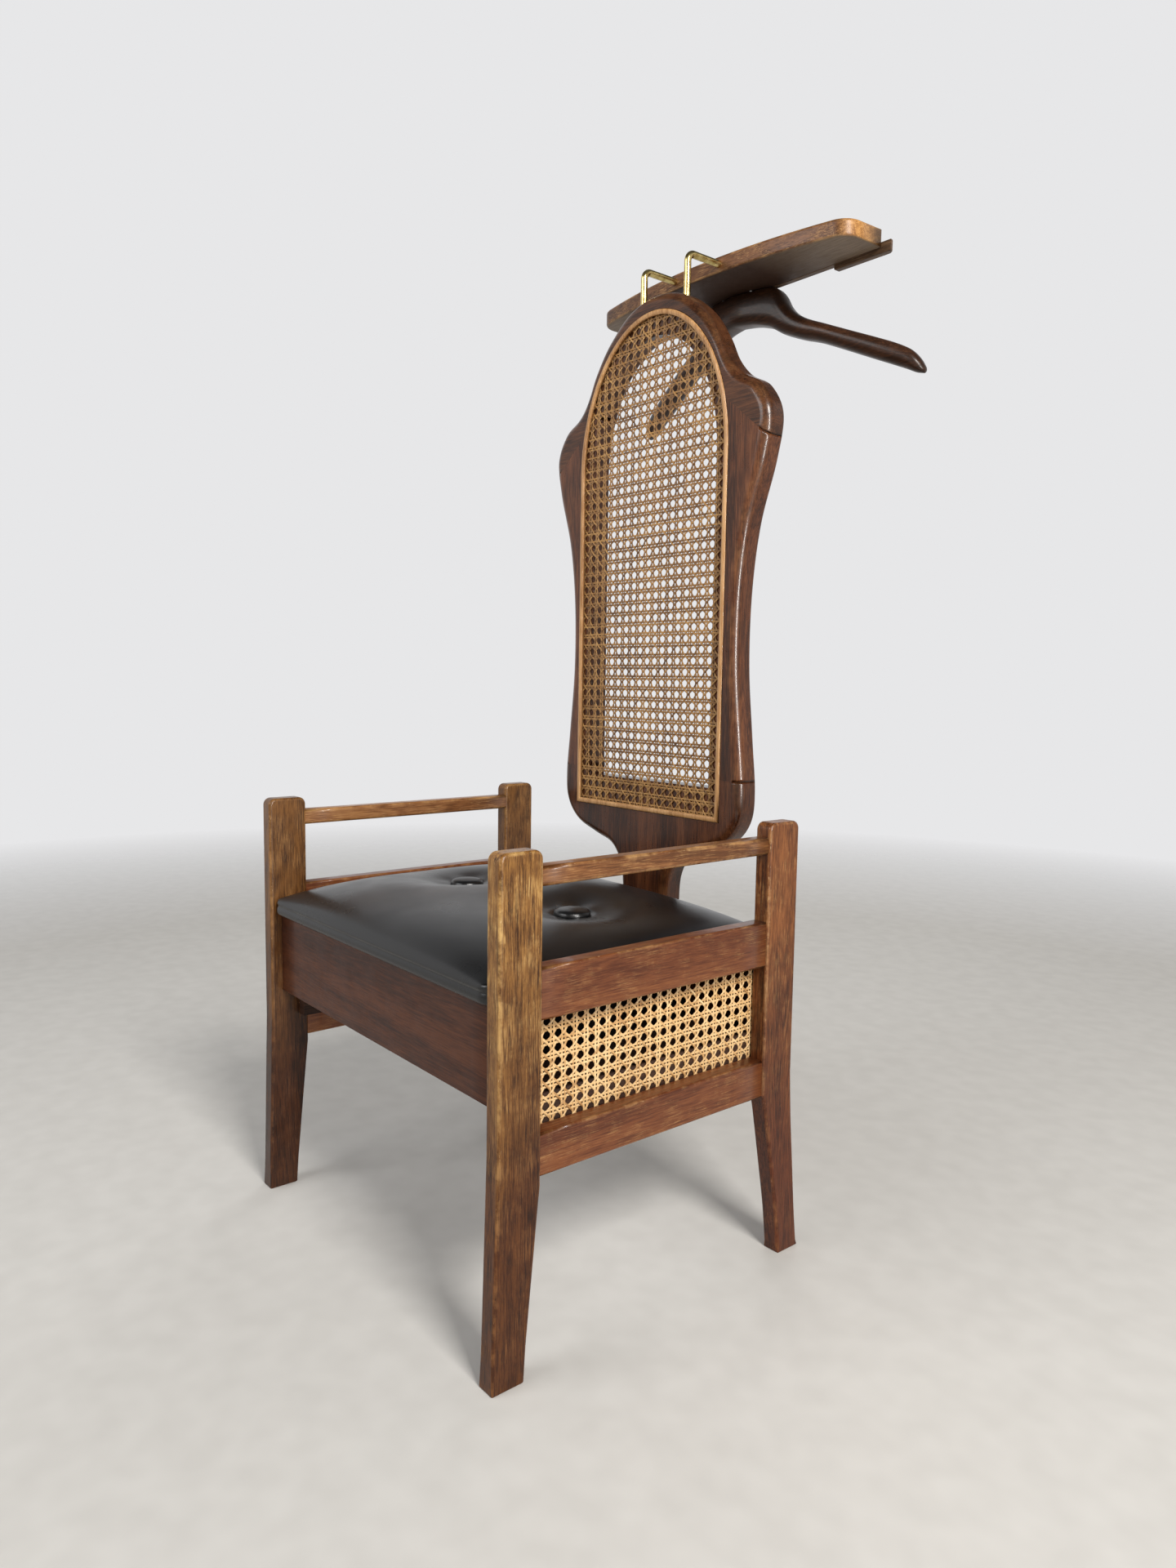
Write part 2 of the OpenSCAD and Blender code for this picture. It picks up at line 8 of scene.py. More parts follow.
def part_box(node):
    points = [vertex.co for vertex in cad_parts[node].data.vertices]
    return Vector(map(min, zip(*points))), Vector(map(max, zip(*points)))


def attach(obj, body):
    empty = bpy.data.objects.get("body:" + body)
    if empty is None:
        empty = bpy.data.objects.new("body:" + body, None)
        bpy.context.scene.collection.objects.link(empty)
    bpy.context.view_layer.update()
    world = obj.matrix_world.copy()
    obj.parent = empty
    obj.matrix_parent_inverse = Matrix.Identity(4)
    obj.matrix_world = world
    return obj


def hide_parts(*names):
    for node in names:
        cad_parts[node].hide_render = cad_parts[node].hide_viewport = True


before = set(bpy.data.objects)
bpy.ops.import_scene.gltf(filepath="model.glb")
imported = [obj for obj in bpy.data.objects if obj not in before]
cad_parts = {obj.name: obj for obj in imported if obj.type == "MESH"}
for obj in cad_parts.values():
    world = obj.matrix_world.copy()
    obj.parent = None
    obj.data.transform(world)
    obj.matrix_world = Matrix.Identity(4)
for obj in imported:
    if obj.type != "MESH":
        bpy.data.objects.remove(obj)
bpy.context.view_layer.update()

# Everything below is in millimetres in the row frame until new_mesh() turns it into metres.
SEAT_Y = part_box("front_apron")[0].y * 1000 + 172.0  # centre of the seat frame, front to back
IN_X = 219.0  # inner face of the posts
FRONT_Y, REAR_Y = SEAT_Y - 184.5, SEAT_Y + 184.5
POST_W, POST_TOP, POST_CORNER = 44, 459, 8
RAIL_Y0, RAIL_Y1 = FRONT_Y + POST_W, REAR_Y - POST_W
BACK_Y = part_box("back_crown")[0].y * 1000
BACK_T = 28.0
LID_Z = 327.0
PITCH = 12.7  # one repeat of the cane


# ------------------------------------------------------------------ mesh helpers
def new_mesh(name, shape, mat, replaces, body="frame", weighted=True, value_name="edge"):
    """Makes a piece that rides on body and stands for the CAD nodes in replaces. shape is (points, faces), or with a
    third list that has a number for each point, which the material reads, such as how near a rounded edge it is."""
    verts, faces, *values = shape
    me = bpy.data.meshes.new(name)
    me.from_pydata([[c * 0.001 for c in v] for v in verts], [], faces)
    if values:
        me.attributes.new(value_name, "FLOAT", "POINT").data.foreach_set("value", values[0])
    me.validate()
    bm = bmesh.new()
    bm.from_mesh(me)
    bmesh.ops.remove_doubles(bm, verts=bm.verts, dist=1e-7)
    bmesh.ops.recalc_face_normals(bm, faces=bm.faces)
    bm.to_mesh(me)
    bm.free()
    for p in me.polygons:
        p.use_smooth = True
    o = bpy.data.objects.new(name, me)
    bpy.context.scene.collection.objects.link(o)
    me.materials.append(mat)
    if weighted:
        w = o.modifiers.new("even_normals", "WEIGHTED_NORMAL")
        w.mode = "FACE_AREA"
        w.weight = 60
    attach(o, body)
    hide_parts(*replaces)
    return o


def arc(cx, cy, r, a0, a1, n):
    """Points on a circle from angle a0 to a1, in degrees."""
    turns = [math.radians(a0 + (a1 - a0) * i / n) for i in range(n + 1)]
    return [(cx + r * math.cos(a), cy + r * math.sin(a)) for a in turns]


def circle(centre, side, up, r, n):
    """Points round centre, in the plane of side and up; r is a number or gives one for each angle."""
    out = []
    for k in range(n):
        a = 2 * math.pi * k / n
        out.append(tuple(centre + (side * math.cos(a) + up * math.sin(a)) * (r(a) if callable(r) else r)))
    return out


def smooth_curve(pts, n):
    """The same curve through points as the CAD part has, in n steps from each point to the next."""
    out = []
    for i in range(len(pts) - 1):
        a, b, c, d = pts[max(i - 1, 0)], pts[i], pts[i + 1], pts[min(i + 2, len(pts) - 1)]
        for k in range(n):
            t = k / n
            point = []
            for p, q, r, u in zip(a, b, c, d):
                point.append(
                    0.5 * (2 * q + (r - p) * t + (2 * p - 5 * q + 4 * r - u) * t * t + (3 * q - p - 3 * r + u) * t**3)
                )
            out.append(tuple(point))
    out.append(tuple(pts[-1]))
    return out


def area2(pts):
    """Twice the area inside an outline; negative when it runs clockwise."""
    return sum(pts[i - 1][0] * pts[i][1] - pts[i][0] * pts[i - 1][1] for i in range(len(pts)))


def inward(pts, limit=1.6):
    """Mitred inward directions of a closed outline that runs anticlockwise."""
    out = []
    n = len(pts)
    for i in range(n):
        p, q, r = Vector(pts[i - 1]), Vector(pts[i]), Vector(pts[(i + 1) % n])
        a, b = (q - p), (r - q)
        if a.length < 1e-9 or b.length < 1e-9:
            a = b = r - p
        a.normalize()
        b.normalize()
        na, nb = Vector((-a.y, a.x)), Vector((-b.y, b.x))
        m = na + nb
        if m.length < 1e-6:
            m = na
        m.normalize()
        out.append(m * min(limit, 1 / max(0.2, m.dot(na))))
    return out


def dedupe(pts, tol=0.02):
    """The outline without points that lie on the one before."""
    out = []
    for p in pts:
        if not out or (Vector(p) - Vector(out[-1])).length > tol:
            out.append(p)
    if (Vector(out[0]) - Vector(out[-1])).length <= tol:
        out.pop()
    return out


def soften(pts, r, steps):
    """Rounds the corners of a closed outline that turn by more than 22 degrees."""
    out = []
    n = len(pts)
    for i in range(n):
        p, q, s = Vector(pts[i - 1]), Vector(pts[i]), Vector(pts[(i + 1) % n])
        a, b = p - q, s - q
        turn = a.angle(b) if a.length > 1e-6 and b.length > 1e-6 else math.pi
        if turn > math.radians(158):
            out.append(tuple(q))
            continue
        d = min(r / math.tan(turn / 2), a.length * 0.45, b.length * 0.45)
        p0, p1 = q + a.normalized() * d, q + b.normalized() * d
        for k in range(steps + 1):
            t = k / steps
            out.append(tuple(p0 * (1 - t) ** 2 + q * 2 * t * (1 - t) + p1 * t * t))
    return dedupe(out)


def quarter(r, steps):
    """(inset, depth) pairs of a quarter round of radius r, from the face to the side."""
    turns = [math.pi / 2 * k / steps for k in range(steps + 1)]
    return [(r * (1 - math.sin(a)), r * (1 - math.cos(a))) for a in turns]


def rounded_plate(outline, d0, d1, place, r0, r1, steps=5):
    """Slab with rounded edges: outline in (u, v), between depths d0 and d1, with one radius at each or a list."""
    if area2(outline) < 0:
        outline = outline[::-1]
    n = len(outline)
    ra = r0 if isinstance(r0, list) else [r0] * n
    rb = r1 if isinstance(r1, list) else [r1] * n
    nrm = inward(outline)
    unit = quarter(1.0, steps)
    rings = [[(ra[i] * inset, d0 + ra[i] * depth) for i in range(n)] for inset, depth in unit]
    rings += [[(rb[i] * inset, d1 - rb[i] * depth) for i in range(n)] for inset, depth in unit[::-1]]
    stations, edge = [], []
    for k, ring in enumerate(rings):
        near_edge = math.sin(math.pi * min(k, len(rings) - 1 - k) / steps)
        stations.append([
            place(p[0] + m.x * inset, p[1] + m.y * inset, depth) for p, m, (inset, depth) in zip(outline, nrm, ring)
        ])
        edge += [near_edge] * n
    return (*sweep(stations), edge)


def sweep(stations, closed=False):
    """Skin over a list of rings with the same number of points, with end caps unless it closes on itself."""
    n = len(stations[0])
    verts = [v for s in stations for v in s]
    faces = []
    m = len(stations)
    for k in range(m if closed else m - 1):
        a, b = k * n, ((k + 1) % m) * n
        for i in range(n):
            j = (i + 1) % n
            faces.append((a + i, a + j, b + j, b + i))
    if not closed:
        faces.append(tuple(range(n))[::-1])
        faces.append(tuple((m - 1) * n + i for i in range(n)))
    return verts, faces


def bar(lo, hi, axis, r, tuck=1.2, steps=4):
    """Rail along one axis with rounded long edges and plain ends that run tuck into its neighbours."""
    u, v = [i for i in range(3) if i != axis]
    u0, u1, v0, v1 = lo[u] + r, hi[u] - r, lo[v] + r, hi[v] - r
    section = []
    for cu, cv, a in ((u1, v0, -90), (u1, v1, 0), (u0, v1, 90), (u0, v0, 180)):
        section += arc(cu, cv, r, a, a + 90, steps)
    length = hi[axis] - lo[axis] + 2 * tuck
    n = max(2, int(length / 40))
    rings = []
    for k in range(n + 1):
        ring = []
        for p, q in section:
            c = [0.0, 0.0, 0.0]
            c[u], c[v], c[axis] = p, q, lo[axis] - tuck + length * k / n
            ring.append(c)
        rings.append(ring)
    edge = [math.sin(math.pi * (k % (steps + 1)) / steps) for k in range(len(section))] * len(rings)
    return (*sweep(rings), edge)


def join(parts):
    """One mesh of several."""
    verts, faces = [], []
    for v, f, *_ in parts:
        k = len(verts)
        verts += v
        faces += [tuple(i + k for i in g) for g in f]
    return verts, faces


def tube(path, r, n):
    """Round rod along a path of points."""
    pts = [Vector(p) for p in path]
    rings = []
    up = None
    for i, p in enumerate(pts):
        t = (pts[min(i + 1, len(pts) - 1)] - pts[max(i - 1, 0)]).normalized()
        if up is None:
            up = Vector((1, 0, 0)) if abs(t.x) < 0.9 else Vector((0, 1, 0))
        side = t.cross(up).normalized()
        up = side.cross(t).normalized()
        rings.append(circle(p, side, up, r, n))
    return sweep(rings)


# ------------------------------------------------------------------ materials
class Graph:
    """Short-hand for building the nodes of a material, or of the world."""

    def __init__(self, name, world=None):
        self.mat = world or bpy.data.materials.new(name)
        self.mat.use_nodes = True
        self.t = self.mat.node_tree
        self.shader = self.t.nodes["Background" if world else "Principled BSDF"]

    def node(self, kind, **props):
        n = self.t.nodes.new(kind)
        for k, v in props.items():
            setattr(n, k, v)
        return n

    def link(self, a, b):
        self.t.links.new(a, b)

    def put(self, socket, value):
        if hasattr(value, "is_output"):
            self.link(value, socket)
        elif isinstance(value, (tuple, list)) and len(value) == 3 and socket.type == "RGBA":
            socket.default_value = (*value, 1)
        else:
            socket.default_value = value

    def coords(self, kind="Object"):
        return self.node("ShaderNodeTexCoord").outputs[kind]

    def parts(self, vec):
        """The X, Y and Z of a vector."""
        n = self.node("ShaderNodeSeparateXYZ")
        self.link(vec, n.inputs[0])
        return n.outputs

    def spread(self):
        """Object coordinates moved by a different amount on each piece, so that no two show the same grain."""
        info = self.node("ShaderNodeObjectInfo").outputs["Random"]
        m = self.node("ShaderNodeVectorMath", operation="MULTIPLY")
        comb = self.node("ShaderNodeCombineXYZ")
        for i in range(3):
            self.link(info, comb.inputs[i])
        self.link(comb.outputs[0], m.inputs[0])
        m.inputs[1].default_value = (5.1, 7.3, 3.7)  # metres; unlike numbers, so that the three axes part company
        a = self.node("ShaderNodeVectorMath", operation="ADD")
        self.link(self.coords(), a.inputs[0])
        self.link(m.outputs[0], a.inputs[1])
        return a.outputs[0]

    def mapped(self, vec, scale, rot=(0, 0, 0)):
        m = self.node("ShaderNodeMapping")
        self.link(vec, m.inputs["Vector"])
        m.inputs["Scale"].default_value = scale
        m.inputs["Rotation"].default_value = rot
        return m.outputs[0]

    def noise(self, vec, scale, detail=4.0, rough=0.55, distortion=0.0):
        n = self.node("ShaderNodeTexNoise")
        self.link(vec, n.inputs["Vector"])
        n.inputs["Scale"].default_value = scale
        n.inputs["Detail"].default_value = detail
        n.inputs["Roughness"].default_value = rough
        n.inputs["Distortion"].default_value = distortion
        return n.outputs[0]

    def math(self, op, a, b=0.0, clamp=False):
        n = self.node("ShaderNodeMath", operation=op, use_clamp=clamp)
        self.put(n.inputs[0], a)
        self.put(n.inputs[1], b)
        return n.outputs[0]

    def add(self, a, b, clamp=False):
        return self.math("ADD", a, b, clamp)

    def mul(self, a, b, clamp=False):
        return self.math("MULTIPLY", a, b, clamp)

    def range(self, v, a, b, c=0.0, d=1.0):
        n = self.node("ShaderNodeMapRange", clamp=True)
        self.put(n.inputs["Value"], v)
        for k, x in zip(("From Min", "From Max", "To Min", "To Max"), (a, b, c, d)):
            self.put(n.inputs[k], x)
        return n.outputs[0]

    def ramp(self, v, stops):
        n = self.node("ShaderNodeValToRGB")
        e = n.color_ramp.elements
        while len(e) < len(stops):
            e.new(0.5)
        for i, (p, c) in enumerate(stops):
            e[i].position = p
            e[i].color = (*c, 1)
        self.link(v, n.inputs[0])
        return n.outputs["Color"]

    def mix(self, f, a, b, mode="MIX"):
        """Colour a where f is 0 and b where it is 1."""
        n = self.node("ShaderNodeMix", data_type="RGBA", blend_type=mode)
        self.put(n.inputs[0], f)
        self.put(n.inputs[6], a)
        self.put(n.inputs[7], b)
        return n.outputs[2]

    def bump(self, height, distance, strength):
        n = self.node("ShaderNodeBump")
        n.inputs["Strength"].default_value = strength
        n.inputs["Distance"].default_value = distance
        self.link(height, n.inputs["Height"])
        return n.outputs[0]

    def set(self, name, value):
        self.put(self.shader.inputs[name], value)


def srgb(r, g, b):
    """Linear colour of an 8-bit sRGB one."""
    levels = (r / 255, g / 255, b / 255)
    return tuple(c / 12.92 if c <= 0.04045 else ((c + 0.055) / 1.055) ** 2.4 for c in levels)


def stops(*pairs):
    """Stops of a colour ramp, each a place and an sRGB colour."""
    return [(place, srgb(*rgb)) for place, rgb in pairs]


CHIP = srgb(232, 200, 150)  # bare beech


def wood(name, axis, dark, mid, light, worn, rough, coat, wear, scratch, low=None, tilt=0.0, mottling=0.15,
         fleck=0.05, flecks=0.25, under=None, end=None):
    """Stained beech: fine fibres, long growth figure, short dark rays, worn edges and light scratches.
    axis is the way the grain runs and tilt turns it; the colours are sRGB. mottling is how much patches count beside
    the long figure, fleck how short the rays are (1 is round) and flecks how strongly they show. low is a height in
    metres and the tint below it; under paints shade and light on what is below a height: painted shade in the
    middle, where the hanger and the back shade it, and a painted floor light towards the ends. end gives three
    colours to what is beyond an x."""
    dark, mid, light, worn = (srgb(*rgb) for rgb in (dark, mid, light, worn))
    g = Graph(name)
    vec = g.spread()

    def stretched(k):
        scale = [1.0, 1.0, 1.0]
        scale["xyz".index(axis)] = k
        turn = [0.0, 0.0, 0.0]
        turn[0 if axis == "y" else 1] = tilt
        return g.mapped(vec, scale, turn)

    def times(a, b):
        return g.mul(a, b, clamp=True)

    fibre = g.noise(stretched(0.05), 950, 4, 0.6, 0.15)
    figure = g.noise(stretched(0.07), 34, 3, 0.5, 0.6)
    mottle = g.noise(stretched(0.35), 95, 4, 0.6, 0.4)
    rings = g.range(g.math("SINE", g.mul(figure, 85.0)), -1, 1)
    rub = g.noise(vec, 40, 4, 0.7)
    ray = g.noise(stretched(fleck), 1300, 2, 0.55)
    tone = g.add(g.mul(fibre, 0.44), g.mul(rings, 0.06))
    tone = g.add(tone, g.mul(figure, 0.5 - mottling))
    tone = g.add(tone, g.mul(mottle, mottling))
    colour = g.ramp(tone, [(0.4, dark), (0.5, mid), (0.6, light)])
    colour = g.mix(g.range(ray, 0.57, 0.7, 0, flecks), colour, dark)
    colour = g.mix(g.range(ray, 0.43, 0.3, 0, flecks * 0.7), colour, light)
    near_edge = g.node("ShaderNodeAttribute", attribute_name="edge").outputs["Fac"]
    edge_wear = times(near_edge, g.range(rub, 0.42, 0.62))
    face_wear = times(g.range(rub, 0.5, 0.66), g.range(fibre, 0.48, 0.58))
    worn_mask = times(g.add(edge_wear, g.mul(face_wear, 0.6)), wear)
    colour = g.mix(worn_mask, colour, worn)
    if scratch > 0.2:
        fine = g.noise(stretched(0.02), 2600, 0, 0.4)
        marks = times(g.range(fine, 0.66, 0.73), g.range(rub, 0.44, 0.56))
        colour = g.mix(g.mul(marks, scratch), colour, worn)
        chips = times(g.range(g.noise(stretched(0.2), 900, 1, 0.5), 0.7, 0.74), near_edge)
        colour = g.mix(g.mul(chips, scratch), colour, CHIP)
    if low or under or end:
        x, _, z = g.parts(g.coords())
    if low:
        height, tint = low
        level = g.add(z, g.mul(figure, 0.2))
        colour = g.mix(g.range(level, height, height + 0.24, 0.9, 0), colour, srgb(*tint), "MULTIPLY")
    if end:
        start, *shades = end
        colour = g.mix(g.range(x, start, start + 0.012), colour, g.ramp(tone, stops(*zip((0.38, 0.49, 0.61), shades))))
    roughness = g.add(g.range(rub, 0.35, 0.68, *rough), g.mul(worn_mask, 0.12), clamp=True)
    # painted shade in the middle of the underside, under the hanger and back, and painted floor light at its ends
    if under:
        top, centre, ends = under
        shade = g.mix(g.range(g.math("ABSOLUTE", x), 0.07, 0.17), srgb(*centre), srgb(*ends))
        shade = g.mix(g.range(fibre, 0.4, 0.6, 0, 0.35), shade, dark)
        colour = g.mix(g.range(z, top, top + 0.0015, 1, 0), colour, shade)
        roughness = g.add(roughness, g.range(z, top, top + 0.0015, 0.25, 0), clamp=True)
    g.set("Base Color", colour)
    g.set("Roughness", roughness)
    g.set("Specular IOR Level", 0.25)
    g.set("Coat Weight", coat)
    g.set("Coat Roughness", 0.13)
    pores = g.add(g.mul(fibre, 0.7), g.mul(ray, 0.3))
    g.set("Normal", g.bump(pores, 0.0002, 0.5))
    return g.mat


def cane_material(name, dark, mid, light, straw):
    """Strips of rattan peel: glossy skin, long fibres, and a different shade on each strip."""
    g = Graph(name)
    tone = g.node("ShaderNodeAttribute", attribute_name="tone").outputs["Fac"]
    vec = g.coords()
    spots = g.noise(vec, 240, 2, 0.6)
    fibres = g.noise(vec, 1700, 1, 0.5)
    t = g.add(g.mul(tone, 0.4), g.add(g.mul(spots, 0.5), 0.05))
    colour = g.ramp(t, stops((0.22, dark), (0.48, mid), (0.74, light)))
    colour = g.mix(g.range(fibres, 0.58, 0.75, 0, 0.4), colour, srgb(*dark))
    patch = g.noise(vec, 14, 1, 0.6)
    colour = g.mix(g.range(patch, 0.5, 0.72, 0, 0.35), colour, srgb(*straw))
    g.set("Base Color", colour)
    g.set("Roughness", g.range(spots, 0.3, 0.7, 0.34, 0.55))
    g.set("Normal", g.bump(g.add(fibres, spots), 0.00012, 0.6))
    return g.mat


def leather_material():
    """Black leatherette: fine grain of cells, a satin skin and a little dust."""
    g = Graph("black_leatherette")
    vec = g.coords()
    cells = g.node("ShaderNodeTexVoronoi", feature="F1")
    g.link(vec, cells.inputs["Vector"])
    cells.inputs["Scale"].default_value = 1150
    cells.inputs["Randomness"].default_value = 0.9
    fine = g.noise(vec, 1900, 1, 0.6)
    broad = g.noise(vec, 16, 2, 0.55)
    dust = g.noise(vec, 420, 3, 0.7)
    colour = g.ramp(broad, stops((0.35, (11, 11, 12)), (0.65, (17, 17, 19))))
    colour = g.mix(g.range(dust, 0.66, 0.8, 0, 0.07), colour, srgb(110, 108, 102))
    g.set("Base Color", colour)
    g.set("Roughness", g.range(broad, 0.35, 0.66, 0.27, 0.35))
    g.set("Specular IOR Level", 0.5)
    grain = g.add(g.mul(cells.outputs["Distance"], 0.8), g.mul(fine, 0.5))
    g.set("Normal", g.bump(grain, 0.00018, 0.22))
    return g.mat


def metal_material(name, low, high, rough):
    """Metal with faint tarnish and drawing lines."""
    g = Graph(name)
    vec = g.coords()
    spots = g.noise(vec, 120, 2, 0.6)
    lines = g.noise(g.mapped(vec, (1, 1, 0.05)), 2200, 2, 0.5)
    g.set("Base Color", g.ramp(spots, stops((0.35, low), (0.62, high))))
    g.set("Metallic", 1.0)
    g.set("Roughness", g.add(g.range(spots, 0.35, 0.7, *rough), g.mul(lines, 0.05)))
    g.set("Normal", g.bump(lines, 0.00003, 0.12))
    return g.mat


GOLD = (205, 160, 102)
front_post = wood("front_post_wood", "z", (66, 39, 16), (124, 83, 40), (164, 119, 62), (208, 168, 104), (0.3, 0.5),
                  0.1, 0.85, 0.8, low=(0.27, (138, 100, 84)), mottling=0.28, fleck=0.17, flecks=0.5)
rear_post = wood("rear_post_wood", "z", (62, 31, 15), (112, 65, 33), (148, 92, 50), GOLD, (0.3, 0.48),
                 0.15, 0.45, 0.45, low=(0.24, (168, 134, 130)), mottling=0.2, fleck=0.12, flecks=0.35)
left_post = wood("left_post_wood", "z", (56, 32, 15), (102, 66, 32), (134, 90, 46), (180, 134, 78), (0.3, 0.48),
                 0.15, 0.5, 0.5, low=(0.27, (134, 100, 88)), mottling=0.24, fleck=0.14, flecks=0.4)
rail = wood("rail_wood", "y", (84, 41, 20), (110, 60, 32), (132, 79, 44), GOLD, (0.28, 0.42),
            0.2, 0.28, 0.3, mottling=0.12, fleck=0.08, flecks=0.2)
arm = wood("arm_wood", "y", (94, 56, 29), (130, 84, 48), (162, 114, 70), GOLD, (0.28, 0.44),
           0.18, 0.4, 0.4, tilt=0.25, mottling=0.12, fleck=0.08, flecks=0.2)
apron_wood = wood("apron_wood", "x", (48, 20, 8), (68, 32, 14), (86, 45, 22), (128, 82, 52), (0.36, 0.48),
                  0.05, 0.12, 0.1, mottling=0.1, flecks=0.15)
back_v = wood("back_wood", "z", (50, 25, 12), (84, 46, 25), (112, 66, 38), (168, 118, 72), (0.26, 0.36),
              0.35, 0.15, 0.15, low=(0.45, (190, 184, 178)), mottling=0.1, flecks=0.15)
back_h = wood("back_wood_across", "x", (42, 22, 11), (70, 39, 21), (94, 56, 32), (168, 118, 72), (0.26, 0.36),
              0.35, 0.12, 0.15, mottling=0.1, flecks=0.15)
hanger_wood = wood("hanger_wood", "x", (34, 19, 10), (52, 30, 18), (72, 44, 27), (130, 92, 60), (0.3, 0.4),
                   0.12, 0.04, 0.1, mottling=0.1, flecks=0.15)
# the tray's underside: painted shade in the middle, painted floor light towards the ends
tray_wood = wood("tray_wood", "x", (58, 32, 17), (90, 57, 34), (120, 80, 50), (200, 156, 104), (0.3, 0.46),
                 0.06, 0.45, 0.5, under=(1.0672, (56, 36, 24), (134, 117, 99)),
                 end=(0.186, (120, 76, 36), (176, 124, 66), (214, 164, 102)))
batten_wood = wood("batten_wood", "x", (64, 46, 32), (94, 70, 50), (124, 96, 70), (176, 146, 110), (0.4, 0.6),
                   0.05, 0.4, 0.4)
ply = wood("box_ply", "y", (38, 22, 15), (58, 36, 25), (76, 50, 35), (110, 80, 56), (0.5, 0.7), 0.0, 0.2, 0.2)
raw_beech = wood("raw_beech", "y", (170, 130, 88), (196, 156, 110), (214, 178, 132), (226, 196, 152), (0.5, 0.7),
                 0.0, 0.1, 0.1)
bead_wood = wood("bead_rattan", "z", (140, 96, 54), (178, 132, 84), (204, 160, 110), (224, 186, 140), (0.26, 0.4),
                 0.3, 0.2, 0.3)
side_cane_mat = cane_material("side_cane_peel", (172, 122, 68), (230, 186, 126), (250, 216, 162), (236, 194, 130))
back_cane_mat = cane_material("back_cane_peel", (84, 54, 24), (140, 99, 52), (180, 137, 80), (130, 90, 44))
leather = leather_material()
brass = metal_material("polished_brass", (186, 162, 100), (222, 202, 140), (0.16, 0.26))
steel = metal_material("zinc_steel", (120, 120, 122), (170, 170, 172), (0.3, 0.45))


# ------------------------------------------------------------------ posts, rails and apron
POST_R, POST_T = 3.4, 20


def post_mesh(outline, sign):
    """Post from its outline in (y, z), on the right (+1) or left (-1)."""
    if area2(outline) < 0:
        outline = outline[::-1]
    pts = []
    for i, p in enumerate(outline):  # more points up the long straight sides
        q = outline[(i + 1) % len(outline)]
        n = max(1, int(math.dist(p, q) / 30))
        pts += [(p[0] + (q[0] - p[0]) * k / n, p[1] + (q[1] - p[1]) * k / n) for k in range(n)]
    pts = soften(pts, 1.5, 2)
    radii = [1.4 if p[1] < 2.0 else POST_R for p in pts]  # the foot is sawn off
    return rounded_plate(pts, 0, POST_T, lambda u, v, d: (sign * (IN_X + d), u, v), radii, radii)


def post_head(y0, y1):
    """Rounded top of a post from y1 back to y0."""
    r, z = POST_CORNER, POST_TOP - POST_CORNER
    return arc(y1 - r, z, r, 0, 90, 8) + arc(y0 + r, z, r, 90, 180, 8)


foot_y = FRONT_Y - 5.5
front_outline = [(foot_y, 0), (foot_y + 33, 0), (RAIL_Y0 - 1.5, 156), (RAIL_Y0, 170)]
front_outline += post_head(FRONT_Y, RAIL_Y0) + [(FRONT_Y, 205)]
heel_y = REAR_Y + 18.5
rear_outline = smooth_curve(
    [(heel_y, 0), (REAR_Y + 13, 47), (REAR_Y + 6.5, 113), (REAR_Y + 3.2, 147), (REAR_Y, 195)], 5
)
rear_outline += post_head(RAIL_Y1, REAR_Y)
rear_outline += smooth_curve(
    [(RAIL_Y1, 180), (RAIL_Y1 + 5, 160), (RAIL_Y1 + 17, 97), (RAIL_Y1 + 26, 47), (heel_y - 30.5, 0)], 5
)
RAILS = (  # name, lowest z, height, wood, edge radius
    ("arm_rail", 427, 17.4, arm, 3.6),
    ("seat_rail", 313, 46, rail, 2.6),
    ("lower_rail", 177, 38.6, rail, 2.6),
)
RAIL_T = 17.6
for side, sign in (("right", 1), ("left", -1)):
    front_mat, rear_mat = (front_post, rear_post) if side == "right" else (left_post, left_post)
    new_mesh(f"front_post_{side}", post_mesh(front_outline, sign), front_mat, [f"front_leg_{side}"])
    new_mesh(f"rear_post_{side}", post_mesh(rear_outline, sign), rear_mat, [f"rear_leg_{side}"])
    for what, z0, h, mat, r in RAILS:
        x0, x1 = sorted((sign * IN_X, sign * (IN_X + RAIL_T)))
        shape = bar((x0, RAIL_Y0, z0), (x1, RAIL_Y1, z0 + h), 1, r)
        new_mesh(f"{what}_wood_{side}", shape, mat, [f"{what}_{side}"])

shape = bar((-IN_X, FRONT_Y + 12.5, 235.4), (IN_X, FRONT_Y + 30.5, LID_Z - 0.3), 0, 1.8)
new_mesh("apron_board", shape, apron_wood, ["front_apron"])

# ------------------------------------------------------------------ back frame
HALF = (  # right half from the top down, across and up in hundredths of the half width and the height
    (0, 100), (23.5, 98.9), (44, 95.5), (57, 91.6), (65, 88.3), (75.5, 85.8), (90.5, 83.8), (100, 79.8), (96, 74),
    (85, 66), (79.5, 57), (79, 47), (83, 37.6), (86.5, 30), (84, 25.6), (72, 22.5), (52, 20.8), (35, 19.6),
    (26, 17.3), (22.5, 14), (23, 7.5), (25, 0),
)
HALF_W, BACK_H, STEM_Z = 177.5, 797, 240
half = [(x * HALF_W / 100, STEM_Z + z * BACK_H / 100) for x, z in HALF]
full = [(-p[0], p[1]) for p in half[::-1]] + half[1:]
back_curve = smooth_curve(full, 10)  # from the stem's left foot over the top to its right foot
# the arched opening as half width, bottom, spring line and top: at the rebate in front, and at the lip behind it
ARCH = (124.0, 443.0, 850.0, 1018.0)
LIP = (103.0, 480.0, 850.0, 991.0)
CROWN_X, CROWN_Z, CROWN_SLOPE = 95.0, 918.2, -0.8  # the crown's joint: level, then falling outwards
BASE_Z = 490.0
GAP = 0.05  # hairline at the glued joints


def joint_z(x):
    return CROWN_Z + CROWN_SLOPE * max(0.0, abs(x) - CROWN_X)


